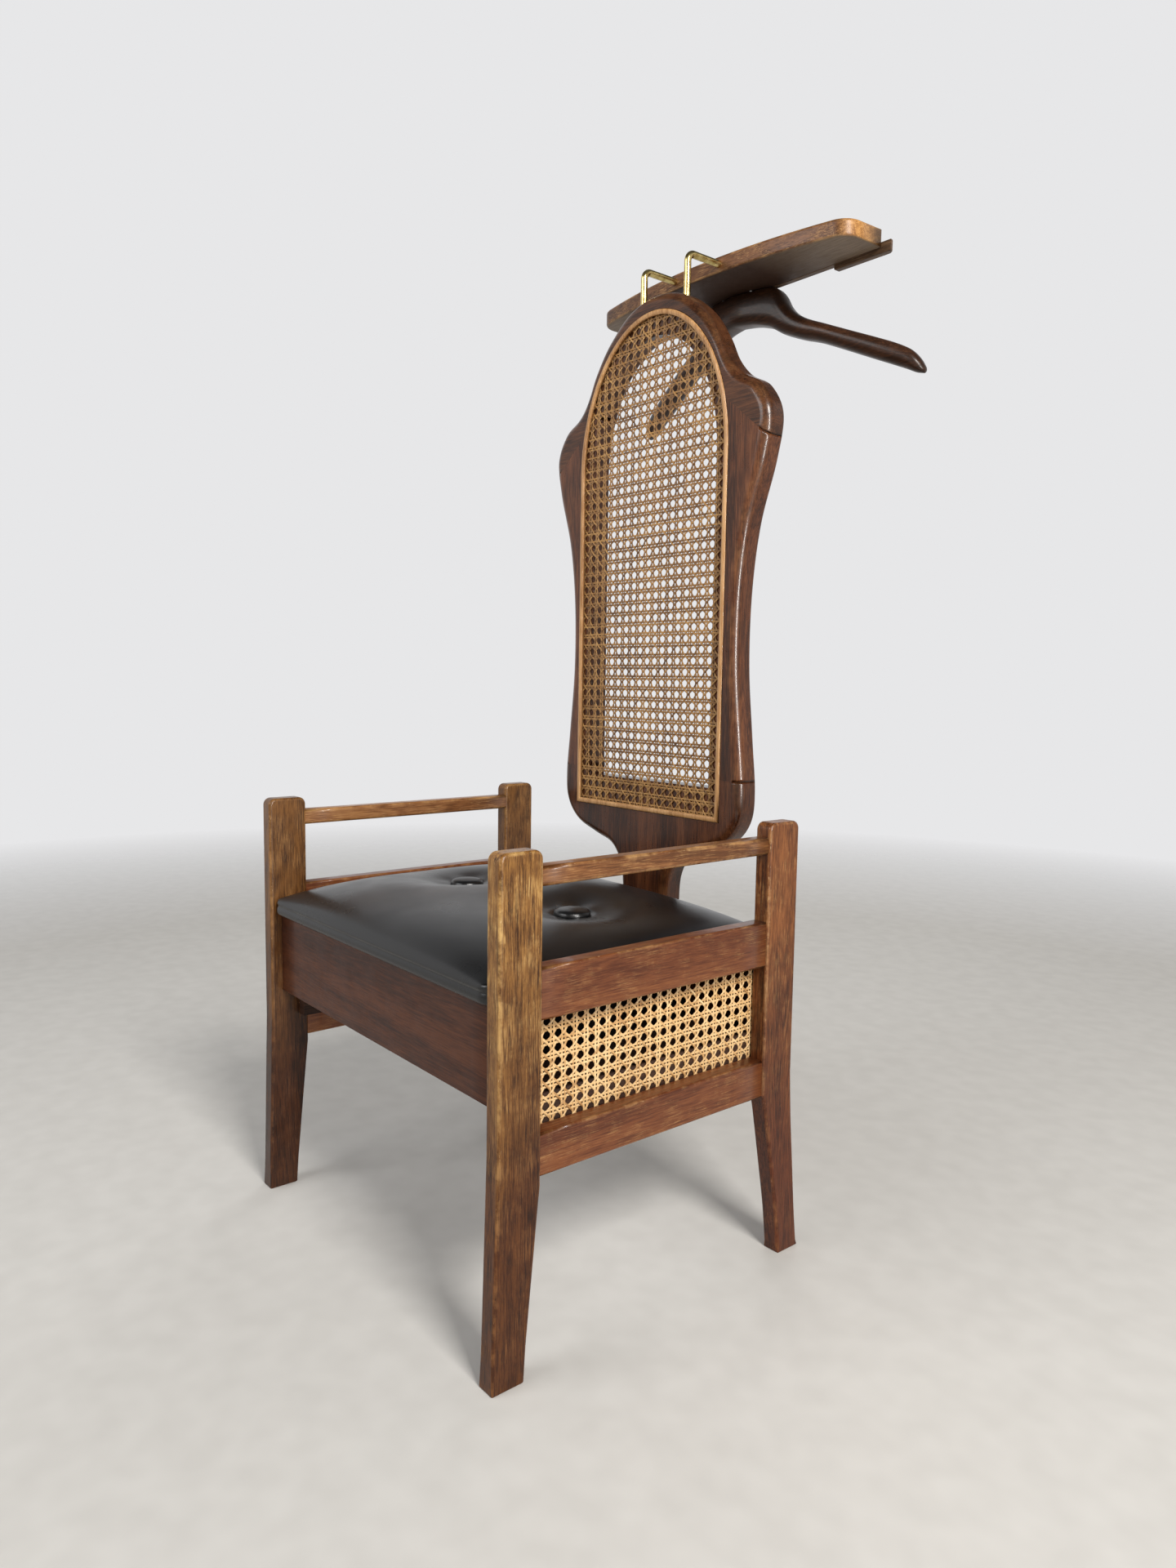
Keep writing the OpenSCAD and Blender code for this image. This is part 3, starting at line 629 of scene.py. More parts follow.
def cross(pts, level):
    """First point, and its place, where the line of points crosses level(x, z) = 0."""
    for i in range(len(pts) - 1):
        a, b = level(pts[i]), level(pts[i + 1])
        if a == 0 or a * b < 0:
            t = a / (a - b)
            return i + 1, tuple(pts[i][k] + (pts[i + 1][k] - pts[i][k]) * t for k in range(2))
    raise ValueError("no crossing")


right_half = back_curve[len(back_curve) // 2 :]  # from the crown's top down the right side
i_crown, p_crown = cross(right_half, lambda p: p[1] - joint_z(p[0]))
i_base, p_base = cross(right_half[i_crown:], lambda p: p[1] - BASE_Z)
i_base += i_crown


def head(shape, n=48):
    """Points down the right side of the arched opening, from its top."""
    w, _, spring, top = shape
    turns = [math.pi / 2 * k / n for k in range(n + 1)]
    return [(w * math.sin(a), spring + (top - spring) * math.cos(a)) for a in turns]


def opening_side(shape):
    """(above the crown joint, below it as far as the base joint) on the right side of the opening."""
    pts = head(shape)
    i, p = cross(pts, lambda q: q[1] - joint_z(q[0]))
    low = [p] + pts[i:] + [(shape[0], shape[2] - (shape[2] - BASE_Z) * k / 12) for k in range(1, 13)]
    return pts[:i] + [p], low


def resample(pts, n):
    """The same line as n equal steps."""
    d = [0.0]
    for a, b in zip(pts, pts[1:]):
        d.append(d[-1] + math.dist(a, b))
    out, k = [], 0
    for j in range(n + 1):
        s = d[-1] * j / n
        while k < len(d) - 2 and d[k + 1] < s:
            k += 1
        t = (s - d[k]) / max(1e-9, d[k + 1] - d[k])
        out.append(tuple(pts[k][c] + (pts[k + 1][c] - pts[k][c]) * t for c in range(2)))
    return out


reb_top, reb_low = opening_side(ARCH)
lip_top, lip_low = opening_side(LIP)
REBATE = 4.0
FRONT_R, BACK_R = 11.5, 3.5
SLIDE = 30.0  # over this far from a joint, the rounding turns to run along it
FOOT_CUT = 22.0


def back_piece(outer, reb, lip):
    """One piece of the back: outer runs anticlockwise, then reb and lip (matched) run back to its start."""
    n_o, n_l = len(outer), len(reb)
    nrm = inward(outer + reb)
    lip_in = inward(outer + lip)
    for end, step, inner in ((0, 1, reb[-1]), (n_o - 1, -1, reb[0])):
        d = (Vector(inner) - Vector(outer[end])).normalized()
        clear = nrm[end + 4 * step].normalized()
        d = d / max(0.75, d.dot(clear))
        run, i = 0.0, end
        while run < SLIDE:
            t = run / SLIDE
            t = t * t * (3 - 2 * t)
            nrm[i] = d * (1 - t) + nrm[i] * t if i != end else d
            run += math.dist(outer[i], outer[i + step])
            i += step
    for i, p in enumerate(outer):  # the stem's foot is sawn off square
        if p[1] < STEM_Z + FOOT_CUT:
            nrm[i] = Vector((-math.copysign(1, p[0]), nrm[i].y * (p[1] - STEM_Z) / FOOT_CUT))
    # the rounding is smaller where the wood between edge and bead is narrow
    room = [min(math.dist(p, q) for q in reb) for p in outer]
    radius = [min(FRONT_R, max(2.5, 0.8 * (x - 1.0))) for x in room]
    for _ in range(3):
        radius = [sum(radius[max(0, min(n_o - 1, i + k))] for k in range(-3, 4)) / 7 for i in range(n_o)]
    steps = 8
    outer_levels = quarter(FRONT_R, steps) + [(0.0, 18.0)]
    outer_levels += [(inset, BACK_T - depth) for inset, depth in quarter(BACK_R, 5)[::-1]]
    # the opening's wall: down to the rebate, across to the lip and on to the rear face
    lip_levels = [("r", 0.7, 0.0), ("r", 0.0, 0.7), ("r", 0.0, REBATE), ("l", 1.2, REBATE)]
    lip_levels += [("l", 0.35, REBATE + 0.35), ("l", 0.0, REBATE + 1.2)]
    rest = len(outer_levels) - len(lip_levels) - 3
    wall = BACK_T - 3.2 - REBATE
    lip_levels += [("l", 0.0, REBATE + 1.2 + wall * (k + 1) / (rest + 1)) for k in range(rest)]
    lip_levels += [("l", 0.0, BACK_T - 2.0), ("l", 0.6, BACK_T - 0.6), ("l", 2.0, BACK_T)]
    stations, edge = [], []
    for k, ((inset, depth), (which, lip_inset, lip_depth)) in enumerate(zip(outer_levels, lip_levels)):
        ring = []
        for p, m, r in zip(outer, nrm, radius):
            f = r / FRONT_R if k <= steps else 1.0
            ring.append((p[0] + m.x * inset * f, BACK_Y + depth * f, p[1] + m.y * inset * f))
        line, directions = (reb, nrm[n_o:]) if which == "r" else (lip, lip_in[n_o:])
        for i, (p, d) in enumerate(zip(line, directions)):
            if i in (0, n_l - 1):
                d = Vector((0, 0))
            ring.append((p[0] + d.x * lip_inset, BACK_Y + lip_depth, p[1] + d.y * lip_inset))
        stations.append(ring)
        edge += [math.sin(math.pi * k / steps) if k <= steps else 0.0] * n_o + [0.0] * n_l
    return (*sweep(stations), edge)


def mirror_pts(pts):
    return [(-p[0], p[1]) for p in pts]


def move_ends(pts, first, last):
    """Moves the ends of a line up, to leave a hairline at its glued joints."""
    return [(pts[0][0], pts[0][1] + first)] + pts[1:-1] + [(pts[-1][0], pts[-1][1] + last)]


# crown: outer from the right joint over the top to the left joint, then the opening from left to right
outer = resample([p_crown] + right_half[1:i_crown][::-1], 110)
lines = [outer + mirror_pts(outer)[::-1][1:]]
for line in (reb_top, lip_top):
    line = resample(line, 34)
    lines.append(mirror_pts(line)[::-1] + line[1:])
new_mesh("crown_wood", back_piece(*(move_ends(line, GAP, GAP) for line in lines)), back_h, ["back_crown"])

# stiles: outer from the base joint up to the crown joint, then the opening downwards
outer = resample([p_base] + right_half[i_crown:i_base][::-1] + [p_crown], 120)
opening = [move_ends(resample(line, 60), -GAP, GAP) for line in (reb_low, lip_low)]
for side, sign in (("right", 1), ("left", -1)):
    v, f, e = back_piece(move_ends(outer, GAP, -GAP), *opening)
    v = [(sign * p[0], p[1], p[2]) for p in v]
    new_mesh(f"stile_wood_{side}", (v, f, e), back_v, [f"back_stile_{side}"])


def sill(shape, heights):
    """The opening's foot from the right joint round to the left one, with heights up its right side."""
    w, bottom = shape[0], shape[1]
    sides = [(w, z) for z in heights]
    return sides + [(w - 2 * w * k / 12, bottom) for k in range(1, 13)] + mirror_pts(sides[-2::-1])


# base with the stem: outer from the left joint down and round to the right joint, then the opening
outer = resample([p_base] + right_half[i_base:], 110)
lines = [mirror_pts(outer) + outer[::-1], sill(ARCH, (490, 470, 455, 443)), sill(LIP, (490, 487, 484, 480))]
new_mesh("stem_wood", back_piece(*(move_ends(line, -GAP, -GAP) for line in lines)), back_v, ["back_base"])


# ------------------------------------------------------------------ bead round the cane
def arch_outline(w, z0, spring, top, n=64):
    """Closed outline of an arched opening, anticlockwise from its lower left corner."""
    sides = [(w, z0 + (spring - z0) * k / 10) for k in range(1, 10)]
    turns = [math.pi * k / n for k in range(n + 1)]
    head_pts = [(w * math.cos(a), spring + (top - spring) * math.sin(a)) for a in turns]
    return [(-w, z0), (w, z0)] + sides + head_pts + mirror_pts(sides[::-1])


path = arch_outline(*ARCH)
# the bead's section as (inwards, behind the front face): a half round on two short legs
turns = [math.radians(a) for a in range(170, 0, -20)]
profile = [(0.25, 2.4), (0.15, -0.2)]
profile += [(3.0 + 2.85 * math.cos(a), -0.3 - 1.35 * math.sin(a)) for a in turns]
profile += [(5.85, -0.2), (5.75, 2.4)]
rings = [[(p[0] + m.x * o, BACK_Y + d, p[1] + m.y * o) for p, m in zip(path, inward(path))] for o, d in profile]
new_mesh("cane_bead", sweep(rings, closed=True), bead_wood, ["back_bead"])


# ------------------------------------------------------------------ cane webbing
def clip_line(poly, p, d):
    """Interval of the line p + t d inside a convex outline."""
    lo, hi = -1e9, 1e9
    n = len(poly)
    for i in range(n):
        a, b = Vector(poly[i]), Vector(poly[(i + 1) % n])
        e = b - a
        nx = Vector((-e.y, e.x))
        denom = nx.dot(d)
        dist = nx.dot(p - a)
        if abs(denom) < 1e-9:
            if dist < 0:
                return None
            continue
        t = -dist / denom
        if denom > 0:
            lo = max(lo, t)
        else:
            hi = min(hi, t)
    return (lo, hi) if hi - lo > 2.0 else None


def hash01(a, b):
    """A number from 0 to 1 that is the same each time for the same a and b."""
    x = math.sin(a * 127.1 + b * 311.7) * 43758.5453
    return x - math.floor(x)


# a strip's section as (across, up), in parts of its width and thickness
STRIP = ((-0.5, 0.0), (-0.34, 0.36), (0.0, 0.5), (0.34, 0.36), (0.5, 0.0), (0.3, -0.34), (-0.3, -0.34))
PAIR_LIFT, SLANT_LIFT = 0.34, 0.78  # how far strips rise and sink as they cross


def cane_sheet(name, poly, origin, place, mat, replaces, seed, width=2.15, apart=1.7):
    """Six-way cane: pairs of upright and level strips, and two slanting ones that cross between the pairs.
    origin is the centre of a hole, and apart how far each strip of a pair lies from the middle of it."""
    if area2(poly) < 0:
        poly = poly[::-1]
    us, vs = [p[0] for p in poly], [p[1] for p in poly]
    ox, oy = origin
    verts, faces, tones = [], [], []

    def strip(p0, d, thick, level, kind, index):
        span = clip_line(poly, p0, d)
        if span is None:
            return
        t0, t1 = span
        n = max(2, int(round((t1 - t0) / (PITCH / 4))))
        side = Vector((-d.y, d.x))
        base, m = len(verts), len(STRIP)
        sway = 0.22 * (hash01(index, kind + 7) - 0.5)
        for i in range(n + 1):
            c = p0 + d * (t0 + (t1 - t0) * i / n)
            wob = sway + 0.16 * noise.noise(Vector((c.x * 0.05, c.y * 0.05, kind * 9.1 + index * 0.37)))
            for across, up in STRIP:
                pt = c + side * (across * width + wob)
                verts.append(place(pt.x, pt.y, level(c) + up * thick))
        tones.extend([hash01(index + seed, kind)] * (m * (n + 1)))
        for i in range(n):
            for k in range(m):
                a, b = base + i * m + k, base + i * m + (k + 1) % m
                faces.append((a, b, b + m, a + m))
        faces.append(tuple(base + k for k in range(m))[::-1])
        faces.append(tuple(base + n * m + k for k in range(m)))

    def weave(turns, which):
        """Height of an upright strip at so many repeats from the holes' row; a level strip has the opposite."""
        return PAIR_LIFT * (0.7 * which * math.cos(math.pi * (turns - 0.5) * 2) + 0.4 * math.sin(2 * math.pi * turns))

    def first(lowest, start):
        return math.floor((lowest - start) / PITCH) - 1

    for kind, along, start in ((0, us, ox), (1, vs, oy)):
        i = first(min(along), start)
        while start + i * PITCH < max(along) + PITCH:
            for which in (-1, 1):
                c = start + (i + 0.5) * PITCH + which * apart
                if kind == 0:
                    def level(r):
                        return weave((r.y - oy) / PITCH, which)

                    strip(Vector((c, 0)), Vector((0, 1)), 0.75, level, kind, i * 2 + which)
                else:
                    def level(r):
                        return -weave((r.x - ox) / PITCH, which)

                    strip(Vector((0, c)), Vector((1, 0)), 0.75, level, kind, i * 2 + which)
            i += 1
    for kind, turn in ((2, 1), (3, -1)):
        vals = [p[0] - turn * p[1] for p in poly]
        start = ox - turn * oy + 0.5 * PITCH
        i = first(min(vals), start)
        while start + i * PITCH < max(vals) + PITCH:
            # over the upright pairs and under the level ones, and the other way round for the second set
            def level(r):
                return turn * SLANT_LIFT * math.cos(2 * math.pi * ((r.x - ox) / PITCH - 0.5))

            strip(Vector((start + i * PITCH, 0)), Vector((1, turn)).normalized(), 0.7, level, kind, i)
            i += 1
    new_mesh(name, (verts, faces, tones), mat, replaces, weighted=False, value_name="tone")


for side, sign, seed in (("right", 1, 3), ("left", -1, 11)):
    lo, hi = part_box(f"side_cane_{side}")
    y0, y1 = lo.y * 1000 + 1, hi.y * 1000 - 1
    cane_sheet(f"side_webbing_{side}", [(y0, 205), (y1, 205), (y1, 324), (y0, 324)], (SEAT_Y + PITCH / 2, 228.2),
               lambda u, v, h: (sign * (IN_X - 1 + h), u, v), side_cane_mat, [f"side_cane_{side}"], seed)
w, bottom, spring, top = ARCH
cane_sheet("back_webbing", dedupe(arch_outline(w - 1.5, bottom + 1.5, spring, top - 1.5)), (0.0, 456.0),
           lambda u, v, h: (u, BACK_Y + 3.0 - h, v), back_cane_mat, ["back_cane"], 5, 1.95, 1.5)

# ------------------------------------------------------------------ tray, rods and hanger
def flat(u, v, d):
    return (u, v, d)


TRAY_Y0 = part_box("tray")[0].y * 1000
TRAY_Y1 = TRAY_Y0 + 80
TRAY_Z0, TRAY_Z1 = 1067, 1086
TRAY_W, BOW, CORNER = 200.5, 24.5, 25.0  # half width, how far the front edge bows out, corner radius
bow_r = (TRAY_W * TRAY_W + BOW * BOW) / (2 * BOW)
bow_y, corner_x = TRAY_Y0 + bow_r, TRAY_W - CORNER
corner_y = bow_y - math.sqrt((bow_r - CORNER) ** 2 - corner_x * corner_x)
turn = math.degrees(math.asin(corner_x / (bow_r - CORNER)))
right = arc(0, bow_y, bow_r, -90, turn - 90, 24) + arc(corner_x, corner_y, CORNER, turn - 90, 0, 16)
right.append((TRAY_W, TRAY_Y1))
tray_outline = dedupe(mirror_pts(right[::-1]) + right)
radii = [[1.0 if p[1] > TRAY_Y1 - 2 else r for p in tray_outline] for r in (3.2, 3.6)]
new_mesh("tray_board", rounded_plate(tray_outline, TRAY_Z0, TRAY_Z1, flat, *radii), tray_wood, ["tray"])

# the strip behind the tray: thick at both ends and thin between them
STRIP_Y0, STRIP_Y1, STRIP_X, STRIP_TOP, STRIP_R = TRAY_Y1 + 0.2, TRAY_Y1 + 9, 213, 1073, 8.0
right_end = [(138.6, STRIP_Y0), (STRIP_X, STRIP_Y0)]
right_end += arc(STRIP_X - STRIP_R, STRIP_Y1 - STRIP_R, STRIP_R, 0, 90, 8) + [(138.6, STRIP_Y1)]
right_end = dedupe(right_end)
middle = [(-139.5, STRIP_Y0), (139.5, STRIP_Y0), (139.5, STRIP_Y1), (-139.5, STRIP_Y1)]
parts = [rounded_plate(end, 1061, STRIP_TOP, flat, 1.2, 1.2, 3) for end in (right_end, mirror_pts(right_end))]
parts.append(rounded_plate(middle, 1067, STRIP_TOP, flat, 1.0, 1.2, 3))
new_mesh("rear_batten", join(parts), batten_wood, ["tray_back_rail"])

ROD_X, ROD_Y, ROD_Z, ROD_R, ROD_BEND = 36, BACK_Y + 20, 1076.5, 4.0, 9.0
for side, sign in (("right", 1), ("left", -1)):
    x = sign * ROD_X
    rod = [(x, ROD_Y, z) for z in (1000, 1020, 1040, 1055, ROD_Z - ROD_BEND)]
    for a in range(9, 91, 9):
        a = math.radians(a)
        rod.append((x, ROD_Y + ROD_BEND * (1 - math.cos(a)), ROD_Z - ROD_BEND + ROD_BEND * math.sin(a)))
    rod += [(x, y, ROD_Z) for y in (ROD_Y + ROD_BEND + 6, ROD_Y + 30, TRAY_Y0 + 10, TRAY_Y0 + 40)]
    new_mesh(f"brass_bar_{side}", tube(rod, ROD_R, 28), brass, [f"brass_rod_{side}"], weighted=False)

# the hanger's right half from the middle outwards: upper and lower outline point below the tray, seen from the
# front, and how square the section is there (2 is an ellipse)
HANGER = (
    (0, 0, 0, -37, 3.6), (24, 0, 22, -39, 3.6), (42, -0.2, 38, -43, 3.5), (52, -1.5, 47, -46.5, 3.3),
    (60, -9, 54, -51, 3.0), (67, -22, 62, -56, 2.7), (77, -34, 74, -61.5, 2.5), (92, -44, 88, -67, 2.4),
    (115, -54, 109, -74, 2.3), (145, -67, 139, -87.5, 2.3), (173, -79, 166, -100, 2.3),
    (195, -89, 188, -110, 2.3), (210, -98, 203, -117, 2.2), (219, -108, 214, -122.5, 2.1),
    (223.5, -116, 221.5, -124.5, 2.0),
)
HANGER_X = 224  # half its width


def hanger_mid(x):
    """How far behind the seat's centre it runs: the tips bend back."""
    return 332 + 61 * (abs(x) / HANGER_X) ** 1.25


def hanger_half(x):
    return (34 - 12 * (abs(x) / HANGER_X) ** 2) / 2


def rounded(value, power):
    return math.copysign(abs(value) ** power, value)


dense = smooth_curve(HANGER, 6)
dense = [(-ux, uz, -lx, lz, square) for ux, uz, lx, lz, square in dense[::-1]] + dense[1:]
stations = []
for i, (ux, uz, lx, lz, square) in enumerate(dense):
    x = (ux + lx) / 2
    c = Vector((x, SEAT_Y + hanger_mid(x), TRAY_Z0 + (uz + lz) / 2))
    up = Vector(((ux - lx) / 2, 0, (uz - lz) / 2))
    slope = (hanger_mid(abs(x) + 1) - hanger_mid(abs(x))) * (1 if x > 0 else -1)
    back = Vector((-slope * 0.5, 1, 0)).normalized() * hanger_half(x)
    from_tip = min(i, len(dense) - 1 - i, 10)
    back = back * (0.55 + 0.45 * math.sin(math.pi / 2 * from_tip / 10))
    ring = []
    for j in range(32):
        a = 2 * math.pi * j / 32
        ring.append(tuple(c + back * rounded(math.cos(a), 2 / square) + up * rounded(math.sin(a), 2 / square)))
    stations.append(ring)


def centre(ring):
    return sum((Vector(p) for p in ring), Vector()) / len(ring)


for end, inner in ((0, 1), (-1, -2)):  # round the tips off
    c = centre(stations[end])
    out = (c - centre(stations[inner])).normalized()
    tip = []
    for k, d in ((0.86, 1.2), (0.6, 2.2), (0.3, 2.7)):
        tip.append([tuple(c + (Vector(p) - c) * k + out * d) for p in stations[end]])
    stations = tip[::-1] + stations if end == 0 else stations + tip
new_mesh("hanger_wood", sweep(stations), hanger_wood, ["coat_hanger"], weighted=False)


# ------------------------------------------------------------------ screws seen from outside
def screw_head(c, out, across, r, h=0.5):
    """Countersunk head with a cross recess, standing h proud."""
    up = out.cross(across)

    def recess(limit, half_w):
        """Radius of a cross at each angle."""
        return lambda a: min(limit, half_w / max(1e-6, min(abs(math.cos(a)), abs(math.sin(a)))))

    levels = [(r, -0.2), (r, h * 0.5), (r * 0.93, h), (r * 0.62, h * 1.15)]
    levels += [(recess(0.6 * r, 0.14 * r), h * 1.15), (recess(0.55 * r, 0.1 * r), -1.2)]
    return sweep([circle(c + out * d, across, up, radius, 48) for radius, d in levels])


heads = []
for x in (-20, 20):
    for z in (262, 300):
        heads.append(screw_head(Vector((x, BACK_Y + BACK_T - 0.1, z)), Vector((0, 1, 0)), Vector((1, 0, 0)), 4.5))
new_mesh("stem_screw_heads", join(heads), steel, ["stem_screws"], weighted=False)


# ------------------------------------------------------------------ cushion
BUTTON_X, BUTTON_Y, BUTTON_Z, BUTTON_R = 98.0, SEAT_Y + 2, 363.0, 19.0
PAD_Y0, PAD_Y1 = FRONT_Y + 3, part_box("seat_cushion")[1].y * 1000
PAD_X, PAD_Y = 217.0, (PAD_Y1 - PAD_Y0) / 2  # half its width and half its depth
PAD_MID = (PAD_Y0 + PAD_Y1) / 2
PAD_CORNER = 13.0
EDGE_Z = 344.0  # where the crown meets the rim
PAD_FLOOR = 327.45
PAD_CAP = 6.0  # how far the stuffing may push the cover out


def dome(x, y):
    """1 on the middle of the cushion and 0 at its edges."""
    u, v = min(1.0, abs(x) / PAD_X), min(1.0, abs(y - PAD_MID) / PAD_Y)
    return ((1 - u**3) * (1 - v**3)) ** 0.58


def from_button(x, y):
    return min(math.hypot(x - bx, y - BUTTON_Y) for bx in (-BUTTON_X, BUTTON_X))


def cushion_top(x, y, crown):
    """Height of the cover: crowned, drawn down towards each button and tucked in under it."""
    z = EDGE_Z + crown * dome(x, y)
    r = from_button(x, y)
    z += (BUTTON_Z - 2.0 - z) * math.exp(-((max(0.0, r - 21) / 40) ** 2))
    tuck = 1 - min(1.0, max(0.0, (r - 16.0) / 7.5))
    for bx in (-BUTTON_X, BUTTON_X):  # soft folds that run out from under each button
        d = math.hypot(x - bx, y - BUTTON_Y)
        if d < 70:
            th = math.atan2(y - BUTTON_Y, x - bx)
            z += 0.45 * math.exp(-(((d - 27) / 13.0) ** 2)) * (math.sin(6 * th + bx) + 0.6 * math.sin(4 * th + 2))
    return z - 3.0 * tuck * tuck * (3 - 2 * tuck)


# the rim below the crown as (outwards, height): a roll, the seam's groove, and the border down to the underside
RIM = (
    (0.9, 341.5), (0.5, 339.6), (-0.2, 338.6), (-0.1, 337.6), (0.7, 336), (1.1, 333.5), (1.0, 331), (0.4, 329),
    (-1.0, 327.6), (-4.0, PAD_FLOOR),
)


def cushion_mesh(crown):
    """Grid top with a rolled rim and a flat underside."""
    nx, ny = 116, 92
    verts, faces = [], []
    r = PAD_CORNER

    def past(x, y):
        """How far a point lies past the centres of the round corners, across and along."""
        return abs(x) - (PAD_X - r), abs(y) - (PAD_Y - r)

    def squeeze(u, v):
        """Square to rounded rectangle."""
        x, y = u * PAD_X, v * PAD_Y
        ax, ay = abs(x), abs(y)
        dx, dy = past(x, y)
        if dx > 0 and dy > 0:
            k = max(dx, dy) / math.hypot(dx, dy)
            ax, ay = PAD_X - r + dx * k, PAD_Y - r + dy * k
        return math.copysign(ax, x), math.copysign(ay, y)

    def param(i, n):
        """-1 to 1, with the steps closer towards the edges."""
        t = 2 * i / n - 1
        return math.copysign(1 - (1 - abs(t)) ** 1.12, t)

    def outwards(x, y):
        dx, dy = past(x, y)
        if dx > 0 and dy > 0:
            n = Vector((dx, dy)).normalized()
            return math.copysign(n.x, x), math.copysign(n.y, y)
        if abs(x / PAD_X) > abs(y / PAD_Y) or dx > 0:
            return math.copysign(1, x), 0.0
        return 0.0, math.copysign(1, y)

    index = {}
    for j in range(ny + 1):
        for i in range(nx + 1):
            x, y = squeeze(param(i, nx), param(j, ny))
            index[i, j] = len(verts)
            verts.append((x, PAD_MID + y, cushion_top(x, PAD_MID + y, crown)))
    for j in range(ny):
        for i in range(nx):
            faces.append((index[i, j], index[i + 1, j], index[i + 1, j + 1], index[i, j + 1]))
    rim = [(i, 0) for i in range(nx)] + [(nx, j) for j in range(ny)]
    rim += [(i, ny) for i in range(nx, 0, -1)] + [(0, j) for j in range(ny, 0, -1)]
    prev = [index[k] for k in rim]
    base = [verts[k] for k in prev]
    m = len(rim)
    for out, z in RIM:
        ring = range(len(verts), len(verts) + m)
        for x, y, _ in base:
            ox, oy = outwards(x, y - PAD_MID)
            verts.append((x + ox * out, y + oy * out, z))
        for k in range(m):
            faces.append((prev[k], ring[k], ring[(k + 1) % m], prev[(k + 1) % m]))
        prev = ring
    under = dict(zip(rim, prev))
    for j in range(1, ny):
        for i in range(1, nx):
            x, y, _ = verts[index[i, j]]
            under[i, j] = len(verts)
            verts.append((x * 0.985, PAD_MID + (y - PAD_MID) * 0.98, PAD_FLOOR))
    for j in range(ny):
        for i in range(nx):
            faces.append((under[i, j], under[i, j + 1], under[i + 1, j + 1], under[i + 1, j]))
    return verts, faces


def stuff(pad):
    """Blows the cover up a little against the buttons and the board, which hold it down."""
    me = pad.data
    start = [v.co.copy() for v in me.vertices]
    held = pad.vertex_groups.new(name="held")
    for v in me.vertices:
        x, y, z = (c * 1000 for c in v.co)
        r = from_button(x, y)
        grip = 1.0 if z < EDGE_Z - 2 else min(1.0, max(0.0, (26.0 - r) / 7.0))
        if grip > 0:
            held.add([v.index], grip, "REPLACE")
    cloth = pad.modifiers.new("stuffing", "CLOTH")
    k = cloth.settings
    k.quality = 6
    k.mass = 0.3
    k.tension_stiffness = k.compression_stiffness = 20
    k.shear_stiffness = 10
    k.bending_stiffness = 1.5
    k.vertex_group_mass = "held"
    k.use_pressure = True
    k.uniform_pressure_force = 4
    k.effector_weights.gravity = 0
    cloth.collision_settings.use_collision = False
    cloth.point_cache.frame_start, cloth.point_cache.frame_end = 1, 20
    scene = bpy.context.scene
    for n in range(1, 21):
        scene.frame_set(n)
    swollen = [v.co.copy() for v in pad.evaluated_get(bpy.context.evaluated_depsgraph_get()).data.vertices]
    pad.modifiers.remove(cloth)
    pad.vertex_groups.remove(held)
    scene.frame_set(1)
    cap = PAD_CAP * 0.001
    push = []
    for a, b in zip(start, swollen):
        d = b - a
        push.append(d.normalized() * cap * (1 - math.exp(-d.length / cap)) if d.length > 1e-6 else d)
    near = [[] for _ in push]
    for e in me.edges:
        near[e.vertices[0]].append(e.vertices[1])
        near[e.vertices[1]].append(e.vertices[0])
    for _ in range(26):  # takes out the finest crumples and leaves the broad ones
        push = [(p + sum((push[j] for j in near[i]), Vector()) / len(near[i])) / 2 for i, p in enumerate(push)]
    for v, a, p in zip(me.vertices, start, push):
        v.co = a + p
    me.update()


cover = cushion_mesh(32.0)  # lower where the stuffing will raise it
cushion = new_mesh("cushion_cover", cover, leather, ["seat_cushion"], body="lid", weighted=False)
stuff(cushion)
sub = cushion.modifiers.new("smooth", "SUBSURF")
sub.levels = sub.render_levels = 1

# a button's outline as (part of its radius, height)
BUTTON = (
    (0.5, 354.5), (0.93, 355), (0.985, 357.5), (1.0, 360.2), (0.985, 362.4), (0.94, 364.1), (0.85, 365.4),
    (0.7, 366.2), (0.5, 366.8), (0.25, 367.2), (0.05, 367.3),
)
parts = []
for bx in (-BUTTON_X, BUTTON_X):
    def pleated(a):
        return BUTTON_R * (1 + 0.006 * math.sin(9 * a + bx))

    rings = []
    for k, z in BUTTON:
        c = Vector((bx, BUTTON_Y, z))
        rings.append(circle(c, Vector((k, 0, 0)), Vector((0, k, 0)), pleated if k > 0.9 else BUTTON_R, 48))
    parts.append(sweep(rings))
new_mesh("covered_buttons", join(parts), leather, ["seat_buttons"], body="lid", weighted=False)

# ------------------------------------------------------------------ CAD pieces that stay, with their finish
KEPT = {
    rail: ["rear_rail"],
    ply: ["bottom_panel", "cane_retainer_left", "cane_retainer_right", "seat_board"],
    raw_beech: ["rail_dowels"],
    steel: ["hanger_screws", "hinge_frame_screws", "hinge_lid_screws"],
    brass: ["hinge_frame_leaves", "hinge_lid_leaves", "hinge_pins"],
}
for mat, nodes in KEPT.items():
    for node in nodes:
        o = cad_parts[node]
        if not o.material_slots:
            o.data.materials.append(mat)
        for slot in o.material_slots:
            slot.material = mat

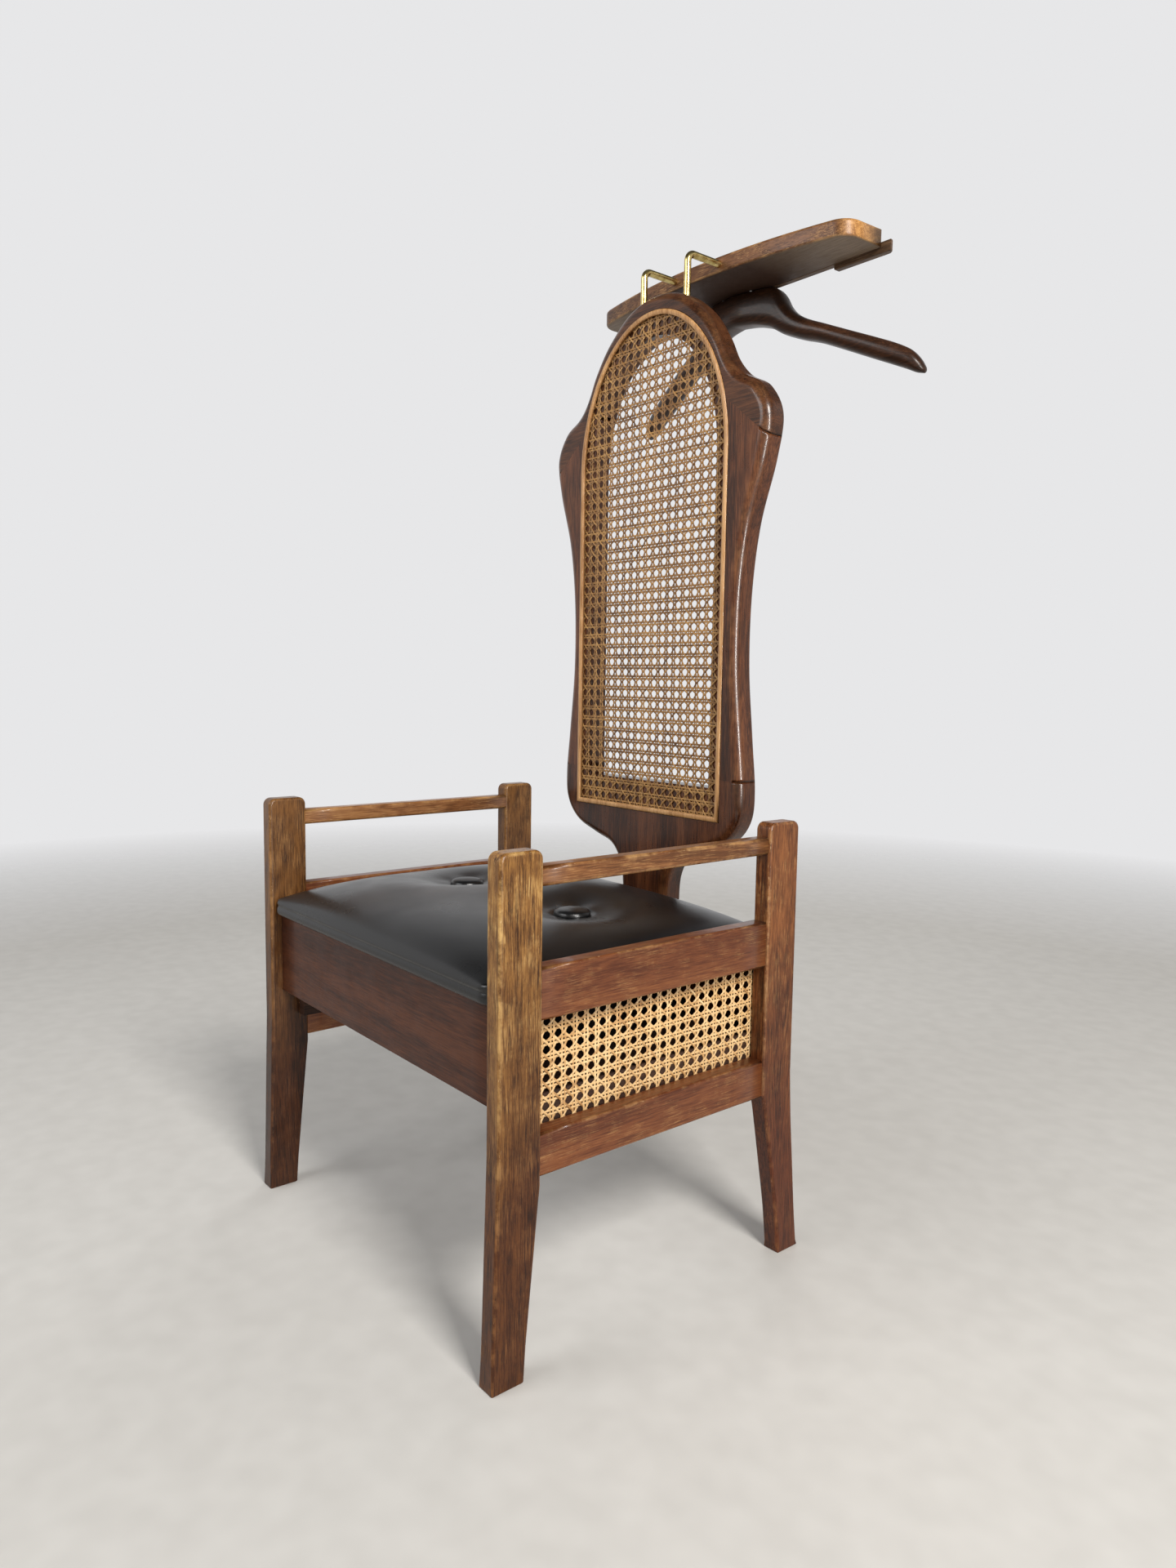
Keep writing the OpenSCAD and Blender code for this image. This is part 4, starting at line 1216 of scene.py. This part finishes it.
# ------------------------------------------------------------------ floor, light and camera
def floor_material():
    """Pale floor that fades out before its rim."""
    g = Graph("pale_floor")
    away = g.node("ShaderNodeVectorMath", operation="LENGTH")
    g.link(g.coords(), away.inputs[0])
    grain = g.noise(g.coords(), 30, 1, 0.5)
    g.set("Base Color", g.ramp(grain, [(0.3, (0.65, 0.635, 0.605)), (0.7, (0.69, 0.675, 0.645))]))
    g.set("Roughness", 0.9)
    g.set("Specular IOR Level", 0.1)
    g.set("Alpha", g.range(away.outputs["Value"], 1.6, 3.2, 1.0, 0.0))
    return g.mat


bm = bmesh.new()
bmesh.ops.create_circle(bm, cap_ends=True, radius=4.0, segments=96)
me = bpy.data.meshes.new("floor")
bm.to_mesh(me)
bm.free()
floor = bpy.data.objects.new("floor", me)
bpy.context.scene.collection.objects.link(floor)
me.materials.append(floor_material())

# a pale backdrop at the back left, a dimmer room on the other side, and darkness overhead for the cushion's sheen
world = bpy.data.worlds.new("studio")
bpy.context.scene.world = world
g = Graph("studio", world)
direction = g.coords("Generated")
toward = g.node("ShaderNodeVectorMath", operation="DOT_PRODUCT")
toward.inputs[1].default_value = (-0.76, 0.62, 0.12)
g.link(direction, toward.inputs[0])
toward = toward.outputs["Value"]
g.set("Color", g.mix(g.range(toward, -0.3, 0.5), (0.80, 0.77, 0.73), (0.815, 0.815, 0.825)))
overhead = g.range(g.parts(direction)[2], 0.53, 0.64, 1.0, 0.12)
g.set("Strength", g.mul(g.range(toward, -0.3, 0.5, 0.72, 0.98), overhead))


def area_light(name, loc, target, size, power, colour=(1, 1, 1)):
    data = bpy.data.lights.new(name, "AREA")
    data.shape = "RECTANGLE"
    data.size, data.size_y = size
    data.energy = power
    data.color = colour
    o = bpy.data.objects.new(name, data)
    bpy.context.scene.collection.objects.link(o)
    o.location = loc
    o.rotation_mode = "QUATERNION"
    o.rotation_quaternion = (Vector(target) - Vector(loc)).to_track_quat("-Z", "Y")
    return o


area_light("key", (2.4, -0.6, 2.3), (0, 0, 0.5), (0.8, 0.8), 80, (1.0, 0.97, 0.93))
area_light("window", (-0.4, -2.6, 1.9), (0, 0, 0.5), (1.6, 1.2), 30, (0.96, 0.98, 1.0))
fill = area_light("back_fill", (-1.6, 2.0, 2.0), (0, 0, 0.6), (1.4, 1.4), 14)
fill.visible_glossy = False
# seen only as the bright line down the round edges
strip_light = area_light("side_strip", (2.5, -0.45, 0.98), (0, 0.1, 0.8), (0.12, 1.4), 60, (1.0, 0.98, 0.95))
strip_light.visible_diffuse = False

SENSOR, PICTURE_H, FOCAL = 36.0, 1920, 1281.95  # mm, pixels, pixels
cam_data = bpy.data.cameras.new("camera")
camera = bpy.data.objects.new("camera", cam_data)
bpy.context.scene.collection.objects.link(camera)
cam_data.sensor_width = SENSOR
cam_data.lens = FOCAL / PICTURE_H * SENSOR
cam_data.clip_start = 0.01
yaw, pitch, roll = math.radians(50.525), math.radians(5.62), math.radians(0.813)
forward = Vector((-math.sin(yaw) * math.cos(pitch), math.cos(yaw) * math.cos(pitch), -math.sin(pitch)))
level = Vector((math.cos(yaw), math.sin(yaw), 0))
upright = level.cross(forward)
c, s = math.cos(roll), math.sin(roll)
axes = (level * c + upright * s, upright * c - level * s, -forward)
place = (0.9169, (SEAT_Y - 653.8) / 1000, 0.597)
camera.matrix_world = Matrix([[a[i] for a in axes] + [place[i]] for i in range(3)] + [[0, 0, 0, 1]])
bpy.context.scene.camera = camera
bpy.context.scene.view_settings.view_transform = "Standard"

bpy.context.view_layer.update()
